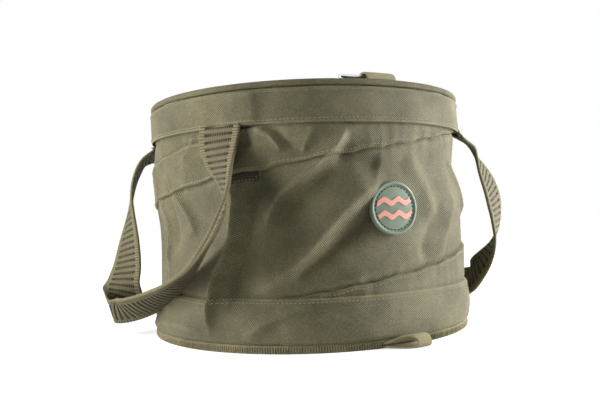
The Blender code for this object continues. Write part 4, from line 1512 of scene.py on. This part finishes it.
# %% Badge relief
def badge_relief(out, turn):
    """Height of the badge's face at a distance from its middle and an angle round it, and its colour: a
    raised rim, a ring of stitch dashes, and two raised wavy bars."""
    x, y = out * np.cos(turn), out * np.sin(turn)
    rim = np.sqrt(np.clip(1 - ((out - RAISED_RIM) / RAISED_RIM_HALF) ** 2, 0, 1))
    field = 1 - smooth_step((out - FIELD_RADIUS) / 0.25)
    wave = BAR_SWAY * np.sin(2 * np.pi * x / BAR_WAVE)
    bars = [smooth_step((BAR_HALF - np.abs(y - off - wave)) / 0.3) for off in (BAR_OFF, -BAR_OFF)]
    bar = np.maximum(*bars)
    dash = smooth_step((THREAD_HALF - np.abs(out - THREAD_RING)) / 0.25)
    dash = dash * smooth_step((np.sin(turn * THREAD_DASHES) + 0.35) / 0.5)
    return 1.6 + 0.95 * rim + 0.45 * bar * field - 0.8 * dash, bar * field, dash


# %% Badge disc
def make_badge():
    """A disc of rings on the plain wall's surface, rounded at its edge, and closed behind by a point."""
    turn = np.linspace(0, 2 * np.pi, 360, endpoint=False)[:, None]
    out = np.concatenate([[BADGE_RADIUS] * 2, np.linspace(BADGE_RADIUS - 0.2, 0.0, 96)])[None, :]
    relief, colour, dash = badge_relief(out, turn)
    relief = relief + np.zeros_like(out + turn)
    # the edge: its foot, its side and its shoulder
    relief[:, :3] = -0.6, 0.9, 1.4
    azimuth = np.degrees(out * np.cos(turn) / WALL_RADIUS)
    height = BADGE_HEIGHT + out * np.sin(turn)
    seat = plain_wall(azimuth, height) + BADGE_SEAT
    front = around(azimuth, seat + relief, height)
    back = around(azimuth[:, :1] * 0, (seat - 0.6)[:, -1:], BADGE_HEIGHT + 0 * turn)
    sections = np.concatenate([front, back], 1)
    blank = np.zeros((len(turn), 2))
    flat = np.stack([np.concatenate([mask + 0 * relief, blank], 1) for mask in (colour, dash)], -1)
    flat = np.concatenate([flat, flat[:1]])
    piece = skin("badge_disc", sections, badge_material(), True, flat)
    merge_middle(piece)
    dress(piece, "badge", "badge")


make_badge()


# %% [markdown]
# ## Tape loops
# A loop of herringbone tape stands inside the rim and holds the ring, and another is sewn into the base seam
# as a pull. A loop's centre line is a few points of (outward, upward) shares with a Catmull-Rom curve
# through them, and the tape's outline is carried along it. The base loop's bend is gathered to one side, as
# it is in the photograph.

# %% Tape material
TAPE_STRIPE = 1.6
TAPE_RIB = 1.1


def tape_material():
    """Herringbone tape: fine ribs whose slant changes from stripe to stripe, by a zigzag across the tape."""
    made, tree, shader = fresh("ribbed_tape", 0.75, sheen=0.2, specular=0.3)
    across, along, _ = axes(tree, cloth_map(tree))
    zigzag = maths(tree, "PINGPONG", across, TAPE_STRIPE * MM)
    angle = maths(tree, "MULTIPLY", maths(tree, "ADD", along, zigzag), 2 * math.pi / (TAPE_RIB * MM))
    ribs = sine_mask(tree, angle)
    share = maths(tree, "MULTIPLY_ADD", mottled(tree)["Cloud"], 0.5, maths(tree, "MULTIPLY", ribs, 0.5))
    feed(tree, shader, Base_Color=tinted(tree, share, srgb(106, 99, 68), srgb(204, 193, 146)))
    bump(tree, shader, ribs, strength=0.8, distance=0.35)
    return made


TAPE = tape_material()


# %% Tape sizes in millimetres
TOP_TAPE_SHARES = [(0.00, 0.00), (0.30, 0.10), (0.74, 0.30), (0.98, 0.58), (0.97, 0.86), (0.78, 0.99),
                   (0.46, 1.00), (0.20, 0.93), (0.09, 0.76), (0.085, 0.42), (0.085, 0.05)]
TOP_TAPE_REACH, TOP_TAPE_RISE, TOP_TAPE_WIDTH = 18.0, 30.0, 28.0
TOP_TAPE_AZIMUTH = 0.2
BASE_TAPE_SHARES = [(0.00, 0.06), (0.30, 0.02), (0.70, 0.00), (0.95, 0.10), (1.00, 0.44), (0.85, 0.88),
                    (0.52, 0.98), (0.24, 0.60), (0.00, 0.34)]
BASE_TAPE_REACH, BASE_TAPE_RISE, BASE_TAPE_WIDTH = 15.0, 8.4, 31.0
TAPE_THICKNESS = 1.5


def tape_piece(name, line, azimuth, width, radius, body, replaced, gather=0.0):
    """A tape whose (radius, height) centre line is carried a width along the seam, with soft edges. Its
    bend is gathered towards the right edge by a share of the width."""
    fine = catmull(line, 10)
    ahead = unit(np.gradient(fine, axis=0))
    normal = np.stack([-ahead[:, 1], ahead[:, 0]], -1)
    half = math.degrees(width / 2 / radius)
    across = np.linspace(-1, 1, 41)
    near_edge = np.clip((np.abs(across) - 0.92) / 0.08, 0, 1)
    fat = TAPE_THICKNESS / 2 * np.sqrt(np.clip(1 - near_edge ** 2, 0.1, 1))
    rib = 0.09 * np.cos(across * width / 2 * 2 * np.pi / (2 * TAPE_STRIPE))
    fat = (fat + rib)[None, :, None]
    outer = fine[:, None] + normal[:, None] * fat
    inner = fine[:, None] - normal[:, None] * fat
    loop = np.concatenate([outer, inner[:, ::-1]], 1)
    run = run_of(fine)
    narrow = 1 - gather * np.sin(np.pi * run / run[-1])[:, None] ** 1.5
    turns = (1 - (1 - np.concatenate([across, across[::-1]])[None, :]) * narrow) * half + azimuth
    sections = around(turns, loop[..., 0], loop[..., 1])
    flat_u = np.concatenate([across, across[::-1], across[:1]]) * width / 2
    flat = np.stack(np.broadcast_arrays(flat_u[None, :], run[:, None]), -1)
    dress(skin(name, sections, TAPE, False, flat), body, replaced)


print("the tapes are", TOP_TAPE_WIDTH, "and", BASE_TAPE_WIDTH, "mm wide")


# %% The rim's tape loop and the base's
facing_inner = FACING_RADIUS - FACING_CLOTH - PLAY
top_foot = facing_inner - PLAY - TAPE_THICKNESS / 2
loop_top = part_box("rim_tape_loop")[1].z / MM
top_start = loop_top - TAPE_THICKNESS / 2 - TOP_TAPE_RISE
top_line = [(top_foot - out * TOP_TAPE_REACH, top_start + up * TOP_TAPE_RISE) for out, up in TOP_TAPE_SHARES]
tape_piece("rim_tape", top_line, TOP_TAPE_AZIMUTH, TOP_TAPE_WIDTH, facing_inner, "rim", "rim_tape_loop")
root = BINDING_RADIUS + 1.2
base_start = PLAY + TAPE_THICKNESS / 2
base_line = [(root + out * BASE_TAPE_REACH, base_start + up * BASE_TAPE_RISE)
             for out, up in BASE_TAPE_SHARES]
tape_piece("base_tape", base_line, 0.0, BASE_TAPE_WIDTH, root, "base_tab", "base_tape_loop", gather=0.62)


# %% [markdown]
# ## Tie ring
# A ring of plated wire hangs by its straight bar in the rim's tape loop. Its path is closed, a bar and a
# squarish bow, and a circle is carried along it. The bow is half an ellipse whose sine and cosine are raised
# to a power under one, which squares its corners with no arcs to join.

# %% Plated wire
def plated_material():
    """Plated wire: a mirror with fine drawing marks and faint dull clouds."""
    made, tree, shader = fresh("plated_wire", 0.2, metallic=1.0)
    mottle = mottled(tree)
    colour = mixed(tree, mottle["Cloud"], (0.62, 0.63, 0.66, 1), (0.86, 0.87, 0.9, 1))
    rough = maths(tree, "MULTIPLY_ADD", mottle["Speck"], 0.25, 0.1)
    feed(tree, shader, Base_Color=colour, Roughness=rough)
    bump(tree, shader, mottle["Speck"], strength=0.1, distance=0.05)
    return made


# %% Tie ring
# sizes in mm, and the ring's place in degrees round the rim
WIRE = 1.7
RING_LENGTH, RING_DROP = 52.0, 34.0
RING_AZIMUTH = -1.5
RING_SLIDE = 5.5
RING_IN_LOOP = 0.62
SQUARENESS = 0.45


def make_tie_ring():
    """A straight bar and a squarish bow, of round wire, in the plane along the rim."""
    along = around(RING_AZIMUTH + 90, 1.0, 0.0)
    outward = around(RING_AZIMUTH, 1.0, 0.0)
    down = np.array([0, 0, -1.0])
    half, drop = RING_LENGTH / 2 - WIRE, RING_DROP - 2 * WIRE
    bar = np.stack([half - 2 * half * np.arange(1, 12) / 12, np.zeros(11)], -1)
    arc = np.pi * np.arange(49) / 48
    bow = np.stack([-half * np.sign(np.cos(arc)) * np.abs(np.cos(arc)) ** SQUARENESS,
                    drop * np.abs(np.sin(arc)) ** SQUARENESS], -1)
    path = np.concatenate([bar, bow])
    bar_radius = top_foot - RING_IN_LOOP * TOP_TAPE_REACH
    bar_height = loop_top - TAPE_THICKNESS - PLAY - WIRE
    centre = around(RING_AZIMUTH, bar_radius, bar_height) - along * RING_SLIDE
    ahead = np.roll(path, -1, 0) - np.roll(path, 1, 0)
    across = unit(np.cross(ahead[:, :1] * along + ahead[:, 1:] * down, outward))
    turn = 2 * np.pi * np.arange(16) / 16
    middle = centre + path[:, :1] * along + path[:, 1:] * down
    ring = np.cos(turn)[:, None] * across[:, None] + np.sin(turn)[:, None] * outward
    piece = skin("tie_ring_wire", middle[:, None] + WIRE * ring, plated_material(), True)
    dress(piece, "tie_ring", "tie_ring")


make_tie_ring()


# %% [markdown]
# ## Base board
# The board is a plain stiff disc between the floor and the underside. It is seen from no side, so it keeps
# its solid and only gets a finish.

# %% Stiff board in the base
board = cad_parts["base_board"]
board.data.materials.clear()
board.data.materials.append(BEAD_CLOTH)
print("the base board keeps its solid, with", len(board.data.polygons), "faces")


# %% Sizes and finish
new_low, new_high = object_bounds()
for word, corner in (("from", new_low), ("to", new_high)):
    print("the dressed model reaches", word, [round(x, 4) for x in corner])
